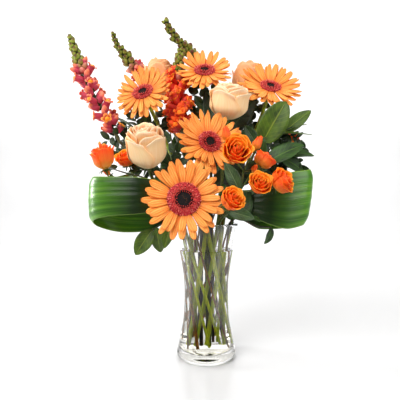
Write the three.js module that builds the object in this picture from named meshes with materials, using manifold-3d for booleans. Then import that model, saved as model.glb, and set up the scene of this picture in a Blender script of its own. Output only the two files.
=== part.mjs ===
// Gerberas in a vase: a mixed bouquet of gerberas, roses, spray roses, snapdragons
// and green leaves standing in the water of a clear hourglass vase.
// Millimetres, +Z up. The origin is the middle of the vase's flat foot and the
// bouquet is seen from −Y.

import * as THREE from 'three';
import { mergeVertices } from 'three/addons/utils/BufferGeometryUtils.js';
import Module from 'manifold-3d';

const wasm = await Module();
wasm.setup();

// ---------------------------------------------------------------- driving dimensions

const GAP = 0.35; // between pieces that touch on the real bouquet
const BLADE = 0.8; // thickness of leaves and petals

const VASE_HEIGHT = 203;
const VASE_WALL = 3.5;
const VASE_FLOOR = 12; // thickness of the heavy glass base
const VASE_SIDES = 18;
// radius and height of the vase's outline, from the foot to the rim
const VASE_OUTLINE = [
  [42, 0], [44.8, 3.5], [45.2, 8], [43.3, 15], [38.6, 39], [35.4, 57], [33.8, 92],
  [34.8, 120], [38, 142], [41.6, 163], [45.2, 185], [49.2, VASE_HEIGHT],
];
const WATER_LEVEL = 164;
const VASE_INSIDE_HEIGHTS = [39, 65, 92, 128, WATER_LEVEL];

// Stems cross the vase in three twisted rings. Twist is in degrees, from rim to foot.
const STEM_FOOT = 18; // height of the lowest cut ends
const OUTER_RING = { count: 13, foot: 34, rim: 40, twist: 90 };
const MIDDLE_RING = { count: 9, foot: 22, rim: 26, twist: -80 };
const INNER_RING = { count: 5, foot: 8, rim: 8.5, twist: 25 };
const FRONT = -90; // direction of the viewer, where each ring's first stem stands

const GERBERA_STEM = 3;
const ROSE_STEM = 2.6;
const SPRAY_STEM = 2.2;
const SPIKE_STEM = 2.4;
const SPIKE_CORE = 4.2; // where the buds crowd round the stem
const LEAF_STALK = 2;
const TWIG = 1.6;

// lift: how far the petal tips stand out in front of the disc, at the flower's top and at its bottom
const GERBERAS = [
  { centre: [-31, -85, 241], facing: [0.05, -0.98, 0.15], size: 109, disc: 46, lift: [5, 4], slot: [OUTER_RING, 0] },
  { centre: [4, -37, 324], facing: [0.25, -0.9, 0.35], size: 99, disc: 34, lift: [9, 6], slot: [MIDDLE_RING, 0] },
  { centre: [-2, 45, 455], facing: [0, -0.74, 0.67], size: 95, disc: 35, lift: [11, -3], slot: [INNER_RING, 0] },
  { centre: [105, 31, 424], facing: [0.1, -0.72, 0.68], size: 106, disc: 34, lift: [13, -1], slot: [MIDDLE_RING, 2] },
  { centre: [-99, 10, 409], facing: [-0.25, -0.77, 0.58], size: 94, disc: 34, lift: [15, -10], slot: [MIDDLE_RING, 6] },
];

const ROSES = [
  { base: [-85, -25, 289], facing: [-0.06, -0.5, 0.86], width: 57, height: 66, slot: [MIDDLE_RING, 7] },
  { base: [32, 3, 366], facing: [0.12, -0.36, 0.93], width: 60, height: 56, slot: [MIDDLE_RING, 1] },
  { base: [-87, 88, 420], facing: [0.08, 0, 1], width: 53, height: 66, slot: [INNER_RING, 3] },
  { base: [72, 92, 418], facing: [0.1, 0.1, 1], width: 56, height: 62, slot: [MIDDLE_RING, 4] },
];

// Blooms of the spray roses. The open ones have petals, a bud is one furled cone.
const RIGHT_SPRAY = {
  slot: [OUTER_RING, 1],
  forks: [[30, -58, 224], [46, -56, 252], [52, -52, 280]],
  leaves: [
    { fork: 1, tip: [26, -56, 292], width: 20 },
    { fork: 0, tip: [66, -62, 214], width: 18 },
    { fork: 2, tip: [96, -34, 300], width: 22 },
  ],
  blooms: [
    { name: 'spray_rose_1', fork: 2, centre: [40, -77, 307], facing: [0.1, -0.93, 0.3], size: 37 },
    { name: 'spray_bud_1', fork: 2, centre: [27, -60, 333], facing: [-0.1, -0.3, 0.95], size: 16, bud: true },
    { name: 'spray_rose_2', fork: 0, centre: [31, -112, 241], facing: [0.45, -0.75, 0.45], size: 30 },
    { name: 'spray_rose_3', fork: 1, centre: [70, -88, 262], facing: [0.1, -0.9, 0.4], size: 29 },
    { name: 'spray_rose_4', fork: 1, centre: [101, -78, 265], facing: [0.75, -0.5, 0.4], size: 33 },
    { name: 'spray_rose_5', fork: 2, centre: [80, -55, 296], facing: [0.6, 0.1, 0.75], size: 28 },
    { name: 'spray_bud_2', fork: 2, centre: [73, -45, 322], facing: [0.5, 0, 0.85], size: 17, bud: true },
    { name: 'spray_bud_3', fork: 1, centre: [66, -64, 284], facing: [0.4, -0.5, 0.7], size: 10, bud: true },
  ],
};
const LEFT_SPRAY = {
  slot: [OUTER_RING, 11],
  forks: [[-70, -14, 246], [-112, -12, 278]],
  leaves: [
    { fork: 0, tip: [-76, -30, 286], width: 20 },
    { fork: 1, tip: [-128, 22, 268], width: 18 },
  ],
  blooms: [
    { name: 'spray_rose_6', fork: 1, centre: [-149, -45, 302], facing: [-0.2, -0.2, 0.95], size: 32, height: 36 },
    { name: 'spray_rose_7', fork: 1, centre: [-125, 6, 306], facing: [-0.2, -0.6, 0.75], size: 31 },
    { name: 'spray_bud_4', fork: 1, centre: [-150, -20, 282], facing: [-0.7, -0.3, 0.5], size: 10, bud: true },
  ],
};
const BACK_SPRAY = {
  slot: [MIDDLE_RING, 3],
  forks: [[52, 26, 270], [84, 28, 325]],
  leaves: [{ fork: 1, tip: [62, 20, 360], width: 20 }],
  blooms: [
    { name: 'spray_rose_8', fork: 1, centre: [141, 22, 341], facing: [0.7, -0.2, 0.5], size: 22 },
    { name: 'spray_bud_5', fork: 1, centre: [112, 30, 386], facing: [0.3, -0.1, 0.9], size: 12, bud: true },
  ],
};

// Snapdragon spikes from the tip down to where the stem is bare.
const SNAPDRAGONS = [
  {
    name: 'snapdragon_left',
    slot: [OUTER_RING, 9],
    spike: [[-222, 25, 509], [-209, 25, 475], [-194, 25, 437], [-180, 25, 407], [-165, 25, 382], [-142, 30, 337]],
    buds: 19, bud: 14, florets: 15, floret: 24, budsTo: 0.36, seed: 3,
  },
  {
    name: 'snapdragon_back_left',
    slot: [MIDDLE_RING, 5],
    spike: [[-160, 65, 530], [-157, 78, 516], [-148, 90, 503], [-137, 102, 491], [-126, 114, 481], [-110, 124, 456]],
    buds: 17, bud: 14, florets: 4, floret: 23, budsTo: 0.72, seed: 5,
  },
  {
    name: 'snapdragon_back',
    slot: [INNER_RING, 2],
    spike: [[-68, 30, 533], [-57, 48, 522], [-44, 62, 511], [-31, 78, 504], [-18, 92, 495], [-6, 100, 475], [1, 98, 439]],
    buds: 20, bud: 17, florets: 2, floret: 21, budsTo: 0.75, seed: 7,
  },
  {
    name: 'snapdragon_centre',
    slot: [INNER_RING, 4],
    spike: [[-42, 60, 501], [-45, 66, 481], [-46, 70, 455], [-46, 60, 428], [-44, 42, 397], [-42, 28, 370], [-36, 20, 340]],
    buds: 15, bud: 18, florets: 16, floret: 28, budsTo: 0.36, seed: 11,
  },
];

// Folded aspidistra leaves: middle line X, Y, Z and half width.
const ASPIDISTRA_LEFT = {
  name: 'aspidistra_left',
  slot: [OUTER_RING, 10],
  across: [0, 0, 1],
  line: [
    [-50, 22, 226, 5], [-66, 28, 226, 22], [-95, 32, 225, 36], [-140, 28, 229, 41], [-168, 10, 235, 39],
    [-177, -14, 238, 36], [-168, -38, 242, 32], [-140, -55, 245, 28], [-100, -62, 246, 26], [-66, -54, 246, 22],
  ],
};
const ASPIDISTRA_RIGHT = {
  name: 'aspidistra_right',
  slot: [OUTER_RING, 3],
  across: [0.12, 0, 0.99],
  line: [
    [52, 20, 225, 5], [66, 28, 225, 20], [92, 35, 225, 33], [128, 30, 231, 38], [151, 8, 239, 40],
    [158, -15, 244, 41], [151, -32, 244, 41], [124, -43, 240, 42], [92, -44, 238, 33], [68, -38, 237, 21],
  ],
};

// Leafy twigs: the way-points of the twig above the rim, and its leaves as
// [place along the twig 0…1, tip, width, the side that the upper face looks to].
const TOWARDS_VIEWER = [0, -1, 0.25];
const UPWARDS = [0, -0.35, 1];
const TWIGS = [
  {
    name: 'foliage_right_upper',
    slot: [OUTER_RING, 5],
    way: [[62, 18, 272], [84, -14, 331], [120, 4, 345]],
    leaves: [
      [0.77, [118, -26, 386], 41, TOWARDS_VIEWER],
      [1, [164, 5, 380], 22, TOWARDS_VIEWER],
      [0.97, [160, 14, 360], 16, UPWARDS],
      [0.84, [163, -6, 340], 14, UPWARDS],
    ],
  },
  {
    name: 'foliage_right_lower',
    slot: [OUTER_RING, 4],
    way: [[66, 8, 258], [84, -22, 300], [112, -14, 308]],
    leaves: [
      [0.78, [146, -34, 316], 30, [0.1, -0.8, 0.6]],
      [1, [165, -8, 308], 20, [0.2, -0.7, 0.7]],
      [0.95, [154, 4, 282], 30, [0.1, -0.8, 0.5]],
      [0.5, [86, -28, 330], 20, TOWARDS_VIEWER],
    ],
  },
  {
    name: 'foliage_centre',
    slot: [INNER_RING, 1],
    way: [[14, 34, 290], [30, 52, 350], [44, 60, 392]],
    leaves: [
      [0.72, [86, 52, 412], 34, TOWARDS_VIEWER],
      [0.62, [-20, 58, 424], 32, TOWARDS_VIEWER],
      [0.45, [-34, 40, 330], 26, TOWARDS_VIEWER],
      [0.5, [66, 24, 330], 28, TOWARDS_VIEWER],
      [1, [46, 96, 430], 28, TOWARDS_VIEWER],
      [0.2, [-34, 14, 292], 34, TOWARDS_VIEWER],
      [0.3, [62, 18, 300], 34, TOWARDS_VIEWER],
      [0.9, [78, 40, 370], 34, TOWARDS_VIEWER],
    ],
  },
  {
    name: 'foliage_left_upper',
    slot: [OUTER_RING, 8],
    way: [[-60, 48, 280], [-98, 54, 335], [-124, 56, 362]],
    leaves: [
      [1, [-160, 50, 378], 20, UPWARDS],
      [0.85, [-98, 52, 392], 22, TOWARDS_VIEWER],
      [0.6, [-60, 40, 338], 28, TOWARDS_VIEWER],
      [0.7, [-130, 70, 320], 24, TOWARDS_VIEWER],
      [0.35, [-50, 10, 332], 34, TOWARDS_VIEWER],
    ],
  },
  {
    name: 'foliage_left_lower',
    slot: [OUTER_RING, 12],
    way: [[-30, -50, 219], [-52, -46, 212], [-80, -24, 196]],
    leaves: [
      [1, [-106, -22, 158], 26, TOWARDS_VIEWER],
      [0.5, [-60, -54, 172], 18, TOWARDS_VIEWER],
      [0.9, [-70, -8, 160], 20, TOWARDS_VIEWER],
    ],
  },
  {
    name: 'foliage_right_front',
    slot: [OUTER_RING, 2],
    way: [[44, -40, 214], [72, -26, 202], [100, -4, 198]],
    leaves: [
      [1, [90, -2, 172], 15, [0.6, -0.8, 0]],
      [0.35, [74, -62, 210], 16, UPWARDS],
      [0.15, [24, -20, 264], 28, TOWARDS_VIEWER],
      [0.3, [60, -30, 254], 26, TOWARDS_VIEWER],
    ],
  },
  {
    name: 'foliage_back_right',
    slot: [OUTER_RING, 6],
    way: [[34, 84, 270], [58, 112, 335], [76, 122, 392]],
    leaves: [
      [0.35, [60, 104, 236], 26, [0.3, 0.9, 0.4]],
      [0.5, [14, 112, 300], 28, [0, 1, 0.3]],
      [0.78, [34, 132, 380], 28, [0, 1, 0.3]],
      [0.85, [118, 112, 372], 28, [0.4, 0.9, 0.3]],
      [1, [78, 134, 440], 26, [0, 1, 0.3]],
    ],
  },
  {
    name: 'foliage_back_left',
    slot: [OUTER_RING, 7],
    way: [[-34, 88, 262], [-56, 112, 318], [-66, 124, 372]],
    leaves: [
      [0.35, [-70, 104, 230], 26, [-0.3, 0.9, 0.4]],
      [0.5, [-14, 116, 296], 28, [0, 1, 0.3]],
      [0.8, [-28, 132, 376], 28, [0, 1, 0.3]],
      [0.9, [-104, 124, 366], 26, [-0.4, 0.9, 0.3]],
      [1, [-60, 130, 420], 26, [0, 1, 0.3]],
    ],
  },
];
const FINE_TWIG = {
  name: 'fine_foliage',
  slot: [MIDDLE_RING, 8],
  way: [[-56, -12, 248], [-92, -4, 272], [-122, -8, 280], [-150, 2, 290]],
  leaflets: 14, length: 22, width: 4,
};

const COLOUR = {
  glass: '#eef3f0', water: '#e6ece6', gerbera: '#f9973f', gerberaDisc: '#8e1a24', stem: '#6f8f35',
  roseStem: '#55702c', cream: '#fbd3a2', peach: '#f6b48b', orange: '#fb6a13', snapdragon: '#6e7434',
  florets: '#e8533f', leaf: '#2f5a1c', aspidistra: '#2d6b18', fine: '#31482a',
};

// ---------------------------------------------------------------- small helpers

const vector = (values) => new THREE.Vector3(...values);
const radians = THREE.MathUtils.degToRad;

/** Draws numbers from −1 to 1, the same ones for the same seed. */
function seededDraw(seed) {
  let state = seed;
  return () => {
    state = (state * 1664525 + 1013904223) % 4294967296;
    return (state / 4294967296) * 2 - 1;
  };
}

/** A frame whose z axis looks along facing, turned about it by turn radians. */
function frameAt(origin, facing, turn = 0) {
  const z = facing.clone().normalize();
  const x = new THREE.Vector3(0, 1, 0).cross(z).normalize();
  const y = z.clone().cross(x);
  const frame = new THREE.Matrix4().makeBasis(x, y, z);
  frame.multiply(new THREE.Matrix4().makeRotationZ(turn));
  return frame.setPosition(origin);
}

// ---------------------------------------------------------------- shapes and solids

// A shape is { points, triangles }. It becomes a solid when it is joined or cut.

/** The same shape in another frame. */
function moved({ points, triangles }, frame) {
  return { points: points.map((point) => point.clone().applyMatrix4(frame)), triangles };
}

/** A closed solid from one shape. */
function solidOf({ points, triangles }) {
  const vertProperties = new Float32Array(points.length * 3);
  points.forEach((point, index) => point.toArray(vertProperties, index * 3));
  const triVerts = Uint32Array.from(triangles.flat());
  return new wasm.Manifold(new wasm.Mesh({ numProp: 3, vertProperties, triVerts }));
}

/** The largest body of a solid, without scraps and sealed hollows. */
function largestBody(solid) {
  return solid.decompose().reduce((largest, body) => (body.volume() > largest.volume() ? body : largest));
}

/** Joins overlapping shapes into one body. */
function joined(shapes) {
  return largestBody(wasm.Manifold.union(shapes.map(solidOf)));
}

/** A closed shape turned from an outline of [radius, height] that starts and ends on the axis. */
function turned(outline, sides) {
  const lathe = new THREE.LatheGeometry(outline.map(([radius, height]) => new THREE.Vector2(radius, height)), sides);
  lathe.rotateX(Math.PI / 2);
  lathe.deleteAttribute('normal');
  lathe.deleteAttribute('uv');
  const merged = mergeVertices(lathe, 1e-3);
  const place = merged.getAttribute('position');
  const points = Array.from({ length: place.count }, (_, i) => new THREE.Vector3().fromBufferAttribute(place, i));
  const corners = merged.getIndex().array;
  const triangles = [];
  for (let i = 0; i < corners.length; i += 3) {
    const [a, b, c] = corners.slice(i, i + 3);
    if (a !== b && b !== c && c !== a) triangles.push([a, b, c]);
  }
  return { points, triangles };
}

/** Two like sheets of points with the same triangles, closed by a wall along their free edges. */
function plate(front, back, triangles) {
  const edges = new Set(triangles.flatMap(([a, b, c]) => [`${a},${b}`, `${b},${c}`, `${c},${a}`]));
  const count = front.length;
  const faces = [];
  for (const [a, b, c] of triangles) {
    faces.push([a, b, c], [a + count, c + count, b + count]);
  }
  for (const edge of edges) {
    const [from, to] = edge.split(',').map(Number);
    if (edges.has(`${to},${from}`)) continue;
    faces.push([to, from, from + count], [to, from + count, to + count]);
  }
  return { points: [...front, ...back], triangles: faces };
}

/** A blade of even thickness round surface(u, v), u from −1 to 1 across and v from 0 to 1 along. */
function blade(surface, across, along) {
  const front = [];
  const back = [];
  const step = 0.01;
  for (let j = 0; j <= along; j += 1) {
    for (let i = 0; i <= across; i += 1) {
      const u = (2 * i) / across - 1;
      const v = j / along;
      const middle = surface(u, v);
      const sideways = surface(Math.min(u + step, 1), v).sub(surface(Math.max(u - step, -1), v));
      const onwards = surface(u, Math.min(v + step, 1)).sub(surface(u, Math.max(v - step, 0)));
      const normal = sideways.cross(onwards).normalize().multiplyScalar(BLADE / 2);
      front.push(middle.clone().add(normal));
      back.push(middle.clone().sub(normal));
    }
  }
  const triangles = [];
  for (let j = 0; j < along; j += 1) {
    for (let i = 0; i < across; i += 1) {
      const corner = j * (across + 1) + i;
      const above = corner + across + 1;
      triangles.push([corner, corner + 1, above + 1], [corner, above + 1, above]);
    }
  }
  return plate(front, back, triangles);
}

/** Closes rings of points, each the same number round, into a shape; a ring of one point is a tip. */
function skin(rings) {
  const points = rings.flat();
  const triangles = [];
  let start = 0;
  const sides = Math.max(...rings.map((ring) => ring.length));
  rings.slice(1).forEach((upper, index) => {
    const lower = rings[index];
    const next = start + lower.length;
    for (let side = 0; side < sides; side += 1) {
      const turn = (side + 1) % sides;
      if (lower.length > 1) triangles.push([start + side, start + turn, upper.length > 1 ? next + turn : next]);
      if (upper.length > 1) triangles.push([lower.length > 1 ? start + side : start, next + turn, next + side]);
    }
    start = next;
  });
  for (let side = 1; side < sides - 1; side += 1) {
    if (rings[0].length > 1) triangles.push([0, side + 1, side]);
    if (rings[rings.length - 1].length > 1) triangles.push([start, start + side, start + side + 1]);
  }
  return { points, triangles };
}

/**
 * A limb along a path, with a radius at each point. A radius of 0 at an end makes it pointed,
 * and a pair of radii makes a star: one for the odd corners and one for the even ones.
 */
function limb(path, radii, sides) {
  let across = new THREE.Vector3(1, 0, 0);
  return skin(path.map((place, index) => {
    const onwards = path[Math.min(index + 1, path.length - 1)].clone().sub(path[Math.max(index - 1, 0)]).normalize();
    if (Math.abs(across.dot(onwards)) > 0.95) across = new THREE.Vector3(0, 1, 0);
    across = across.clone().addScaledVector(onwards, -across.dot(onwards)).normalize();
    if (radii[index] === 0) return [place];
    const upwards = onwards.clone().cross(across);
    const pair = [radii[index]].flat();
    return Array.from({ length: sides }, (_, side) => {
      const angle = (2 * Math.PI * side) / sides;
      const radius = pair[side % pair.length];
      const corner = place.clone().addScaledVector(across, Math.cos(angle) * radius);
      return corner.addScaledVector(upwards, Math.sin(angle) * radius);
    });
  }));
}

// ---------------------------------------------------------------- what is already in place

const placed = [];

const boxesNear = (a, b, gap) =>
  [0, 1, 2].every((axis) => a.min[axis] - gap < b.max[axis] && b.min[axis] - gap < a.max[axis]);

/** How badly a solid crowds what is already in place: 0 where it keeps its gap to everything. */
function crowding(solid) {
  const box = solid.boundingBox();
  let amount = 0;
  for (const other of placed) {
    if (!boxesNear(box, other.box, GAP)) continue;
    const gap = solid.minGap(other.solid, GAP);
    if (gap < GAP * 0.98) amount += 1 + solid.intersect(other.solid).volume();
  }
  return amount;
}

/** Makes a solid for each choice in turn and keeps the first one that crowds nothing. */
function firstClear(choices, make) {
  let best = null;
  let least = Infinity;
  for (const choice of choices) {
    const made = make(choice);
    const amount = crowding(solidOf(made.shape));
    if (amount < least) {
      least = amount;
      best = made;
    }
    if (amount === 0) break;
  }
  return { ...best, crowded: least };
}

const bouquet = new THREE.Group();

/** Adds one finished piece to the bouquet. */
function add(name, solid, colour, roughness = 0.6, group = bouquet) {
  placed.push({ name, solid, box: solid.boundingBox() });
  const { vertProperties, triVerts } = solid.getMesh();
  const geometry = new THREE.BufferGeometry();
  geometry.setAttribute('position', new THREE.BufferAttribute(vertProperties, 3));
  geometry.setIndex(new THREE.BufferAttribute(triVerts, 1));
  geometry.computeVertexNormals();
  const mesh = new THREE.Mesh(geometry, new THREE.MeshStandardMaterial({ color: colour, roughness, metalness: 0 }));
  mesh.name = name;
  group.add(mesh);
}

// ---------------------------------------------------------------- vase

/** The vase's outer radius at a height, straight between the outline's points. */
function vaseRadius(height) {
  const above = Math.max(1, VASE_OUTLINE.findIndex(([, z]) => z >= height));
  const [lowRadius, low] = VASE_OUTLINE[above - 1];
  const [highRadius, high] = VASE_OUTLINE[above];
  return lowRadius + ((highRadius - lowRadius) * (height - low)) / (high - low);
}

/** Points of the outline just inside the wall, from the floor up to a height. */
function insideOutline(top, clearance) {
  const floor = VASE_FLOOR + clearance;
  const inset = VASE_WALL + clearance;
  const heights = VASE_INSIDE_HEIGHTS.filter((height) => height < top);
  const corner = [vaseRadius(floor + 1) - inset - 4, floor];
  const heel = [vaseRadius(floor + 4) - inset, floor + 5];
  const wall = [...heights, top].map((height) => [vaseRadius(height) - inset, height]);
  return [corner, heel, ...wall];
}

function makeVase() {
  const lip = [vaseRadius(VASE_HEIGHT) - VASE_WALL / 2, VASE_HEIGHT + 0.8];
  const inside = insideOutline(VASE_HEIGHT, 0).reverse();
  return solidOf(turned([[0, 0], ...VASE_OUTLINE, lip, ...inside, [0, VASE_FLOOR]], VASE_SIDES));
}

// ---------------------------------------------------------------- stems

/** The straight run of a stem in the vase: cut end below, rim above. */
function stemInVase([ring, index]) {
  const atRim = radians(FRONT + (360 / ring.count) * index);
  const atFoot = atRim + radians(ring.twist);
  const lift = ((index * 5) % 4) * 3; // cut ends stand at different heights
  const foot = new THREE.Vector3(ring.foot * Math.cos(atFoot), ring.foot * Math.sin(atFoot), STEM_FOOT + lift);
  const rim = new THREE.Vector3(ring.rim * Math.cos(atRim), ring.rim * Math.sin(atRim), VASE_HEIGHT);
  return { foot, rim, onwards: rim.clone().sub(foot).normalize() };
}

const stemsInWater = [];

/** Notes a stem, so that the water gets a plain hole for it. */
function noteInWater(slot, radius) {
  const { foot, rim } = stemInVase(slot);
  stemsInWater.push({ foot, rim, radius });
}

/** Sideways bends to try for a limb: none first, then wider and wider round the compass. */
const BENDS = [new THREE.Vector3()];
for (const reach of [8, 16, 26, 38]) {
  for (let side = 0; side < 8; side += 1) {
    const angle = (side * Math.PI) / 4 + reach;
    BENDS.push(new THREE.Vector3(Math.cos(angle) * reach, Math.sin(angle) * reach, 0));
  }
}

/** Points of a smooth curve from start, leaving along leave, to end, arriving along arrive. */
function smoothWay(start, leave, end, arrive, bend, steps) {
  const reach = start.distanceTo(end) * 0.36;
  const first = start.clone().addScaledVector(leave, reach).add(bend);
  const second = end.clone().addScaledVector(arrive, -reach).add(bend);
  return new THREE.CubicBezierCurve3(start, first, second, end).getPoints(steps);
}

/** A stem from its cut end in the vase to the base of its bloom, bent clear, with a flared top. */
function flowerStem({ slot, radius, base, facing, flare }) {
  const { foot, rim, onwards } = stemInVase(slot);
  const flareLength = flare.reduce((sum, [length]) => sum + length, 0);
  const neck = base.clone().addScaledVector(facing, -flareLength);
  noteInWater(slot, radius);
  return firstClear(BENDS, (bend) => {
    const way = [foot, ...smoothWay(rim, onwards, neck, facing, bend, 5)];
    const radii = way.map(() => radius);
    for (const [length, flareRadius] of flare) {
      way.push(way[way.length - 1].clone().addScaledVector(facing, length));
      radii.push(flareRadius);
    }
    return { shape: limb(way, radii, 5) };
  });
}

// ---------------------------------------------------------------- gerberas

/** One layer of ray petals, notched between them, in a frame that looks along +z. */
function rayLayer({ count, hub, tip, height, rise, depth, turn, draw }) {
  const front = [new THREE.Vector3(0, 0, height)];
  const back = [new THREE.Vector3(0, 0, height - depth)];
  const step = (2 * Math.PI) / count;
  const notch = hub + (tip - hub) * 0.32;
  const addPoint = (angle, radius, z, thickness) => {
    const point = new THREE.Vector3(Math.cos(angle) * radius, Math.sin(angle) * radius, height + z);
    front.push(point);
    back.push(point.clone().setZ(point.z - thickness));
  };
  const triangles = [];
  for (let petal = 0; petal < count; petal += 1) {
    const angle = turn + petal * step;
    const reach = tip * (1 + 0.035 * draw());
    const sway = step * 0.07 * draw();
    const tilt = 1.3 * draw();
    addPoint(angle, hub, 0, depth);
    addPoint(angle, notch, rise(notch, angle) - 0.9, BLADE);
    addPoint(angle + step * 0.28 + sway, reach, rise(reach, angle) + tilt, BLADE);
    addPoint(angle + step * 0.72 + sway, reach, rise(reach, angle) + tilt + 0.8 * draw(), BLADE);
    const [hubHere, notchHere, left, right] = [1, 2, 3, 4].map((offset) => petal * 4 + offset);
    const [hubNext, notchNext] = [1, 2].map((offset) => ((petal + 1) % count) * 4 + offset);
    triangles.push([0, hubHere, hubNext], [hubHere, notchHere, notchNext], [hubHere, notchNext, hubNext]);
    triangles.push([notchHere, left, right], [notchHere, right, notchNext]);
  }
  return plate(front, back, triangles);
}

/** The gerbera's raised disc: a dark eye in a fringed ring of small florets. */
function gerberaDisc(radius) {
  const sectors = 10;
  const rings = [[0.36, 3.4, 0], [0.5, 2.2, 0.03], [0.66, 4.6, 0.03], [0.93, 3.6, 0.05], [1, 0, 0]];
  const points = [new THREE.Vector3(0, 0, 2.6)];
  for (const [share, height, fringe] of rings) {
    for (let sector = 0; sector < sectors; sector += 1) {
      const angle = (2 * Math.PI * sector) / sectors;
      const wave = sector % 2 ? 1 : -1;
      const reach = radius * (share + fringe * wave);
      points.push(new THREE.Vector3(Math.cos(angle) * reach, Math.sin(angle) * reach, height + fringe * 14 * wave));
    }
  }
  const triangles = [];
  const last = 1 + (rings.length - 1) * sectors;
  for (let sector = 0; sector < sectors; sector += 1) {
    const next = (sector + 1) % sectors;
    triangles.push([0, 1 + sector, 1 + next]);
    for (let ring = 0; ring < rings.length - 1; ring += 1) {
      const inner = 1 + ring * sectors;
      const outer = inner + sectors;
      triangles.push([inner + sector, outer + sector, outer + next], [inner + sector, outer + next, inner + next]);
    }
    if (sector > 0 && sector < sectors - 1) triangles.push([last, last + next, last + sector]);
  }
  return { points, triangles };
}

function makeGerbera(spec, number) {
  const draw = seededDraw(number * 97);
  const facing = vector(spec.facing).normalize();
  const frame = frameAt(vector(spec.centre), facing, number);
  const hub = spec.disc / 2 + 0.6;
  const tip = spec.size / 2;
  const innerHeight = 1.7;
  const upwards = new THREE.Vector3(0, 0, 1).transformDirection(frame.clone().invert());
  const topAngle = Math.atan2(upwards.y, upwards.x);
  const [topLift, bottomLift] = spec.lift;
  const rise = (radius, angle) => {
    const share = (radius - hub) / (tip - hub);
    const towardsTop = (1 + Math.cos(angle - topAngle)) / 2;
    return THREE.MathUtils.lerp(bottomLift, topLift, towardsTop) * share ** 1.3;
  };
  const outer = rayLayer({ count: 17, hub, tip, height: 0, rise, depth: BLADE, turn: 0, draw });
  const innerRise = (radius, angle) => rise(radius, angle) + 3 * ((radius - hub) / (tip - hub));
  const innerLayer = { count: 11, hub, tip: tip * 0.86, height: innerHeight, rise: innerRise };
  const inner = rayLayer({ ...innerLayer, depth: innerHeight + 0.4, turn: 0.2, draw });
  const petals = joined([moved(outer, frame), moved(inner, frame)]);
  const discFrame = frame.clone().multiply(new THREE.Matrix4().makeTranslation(0, 0, innerHeight + GAP));
  const group = new THREE.Group();
  bouquet.add(group);
  add(`gerbera_${number}_petals`, petals, COLOUR.gerbera, 0.6, group);
  add(`gerbera_${number}_disc`, solidOf(moved(gerberaDisc(spec.disc / 2), discFrame)), COLOUR.gerberaDisc, 0.8, group);
  return () => {
    const base = vector(spec.centre).addScaledVector(facing, -BLADE - GAP);
    const flare = [[2, 4.5], [3, 9.5], [7, 13]];
    const stem = flowerStem({ slot: spec.slot, radius: GERBERA_STEM, base, facing, flare });
    add(`gerbera_${number}_stem`, solidOf(stem.shape), COLOUR.stem, 0.6, group);
  };
}

// ---------------------------------------------------------------- roses

/**
 * A rose bloom along +z as one folded skin: up the outside of each whorl of petals, over its lip and
 * down into the valley before the next whorl. Petals part where every third corner stays low.
 */
function roseBloom({ width, height, sides, whorls }) {
  const ring = (corner) =>
    Array.from({ length: sides }, (_, index) => {
      const angle = (2 * Math.PI * index) / sides;
      const [radius, rise] = corner(index);
      return new THREE.Vector3(Math.cos(angle) * radius * width, Math.sin(angle) * radius * width, rise * height);
    });
  const wall = BLADE / width;
  const rings = [
    ring(() => [0.14, 0]),
    ring(() => [0.4, 0.18]),
  ];
  whorls.forEach(({ belly, lip, parting, top, valley }, whorl) => {
    const edge = (inset) => (index) => {
      const corner = (index + whorl) % 3;
      const spiral = corner === 1 ? -0.02 : 0.02; // one side of a petal tucks in, the other laps out
      return corner === 0 ? [belly - inset, parting + 0.06] : [lip + spiral - inset, top];
    };
    if (whorl === 0) rings.push(ring(() => [belly, parting]));
    rings.push(ring(edge(0)), ring(edge(wall)), ring(() => [belly - 2.4 * wall, valley]));
  });
  rings.push([new THREE.Vector3(0, 0, height * 0.8)]);
  return skin(rings);
}

const LARGE_BLOOM = {
  sides: 15,
  whorls: [
    { belly: 0.49, lip: 0.49, parting: 0.52, top: 0.86, valley: 0.56 },
    { belly: 0.38, lip: 0.35, parting: 0.74, top: 0.96, valley: 0.66 },
    { belly: 0.24, lip: 0.19, parting: 0.84, top: 1, valley: 0.76 },
  ],
};
const SMALL_BLOOM = {
  sides: 9,
  whorls: [
    { belly: 0.46, lip: 0.5, parting: 0.4, top: 0.84, valley: 0.45 },
    { belly: 0.28, lip: 0.26, parting: 0.62, top: 1, valley: 0.6 },
  ],
};

function makeRose(spec, number) {
  const facing = vector(spec.facing).normalize();
  const frame = frameAt(vector(spec.base), facing, number * 1.3);
  const bloom = moved(roseBloom({ ...spec, ...LARGE_BLOOM }), frame);
  const group = new THREE.Group();
  bouquet.add(group);
  add(`rose_${number}_petals`, solidOf(bloom), number < 3 ? COLOUR.cream : COLOUR.peach, 0.6, group);
  return () => {
    const base = vector(spec.base).addScaledVector(facing, -GAP);
    const flare = [[3, 4], [-2, [15, 5]], [4, 6]]; // receptacle, spreading sepals, seat of the bloom
    const stem = flowerStem({ slot: spec.slot, radius: ROSE_STEM, base, facing, flare });
    add(`rose_${number}_stem`, solidOf(stem.shape), COLOUR.roseStem, 0.7, group);
  };
}

// ---------------------------------------------------------------- spray roses

/** A furled bud along +z with a spiral twist in its sides. */
function furledBud(size) {
  const shares = [[0, 0.22], [0.35, 0.5], [0.9, 0.4], [1.35, 0.16]];
  return limb(
    shares.map(([height]) => new THREE.Vector3(0, 0, height * size)),
    shares.map(([, radius]) => radius * size),
    6,
  );
}

const bloomHeight = ({ size, bud, height }) => height ?? (bud ? size * 1.35 : size * 0.78);

/** Where a spray bloom stands on its stalk. */
function bloomBase(bloom) {
  const facing = vector(bloom.facing).normalize();
  return { facing, base: vector(bloom.centre).addScaledVector(facing, -bloomHeight(bloom) / 2) };
}

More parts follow.
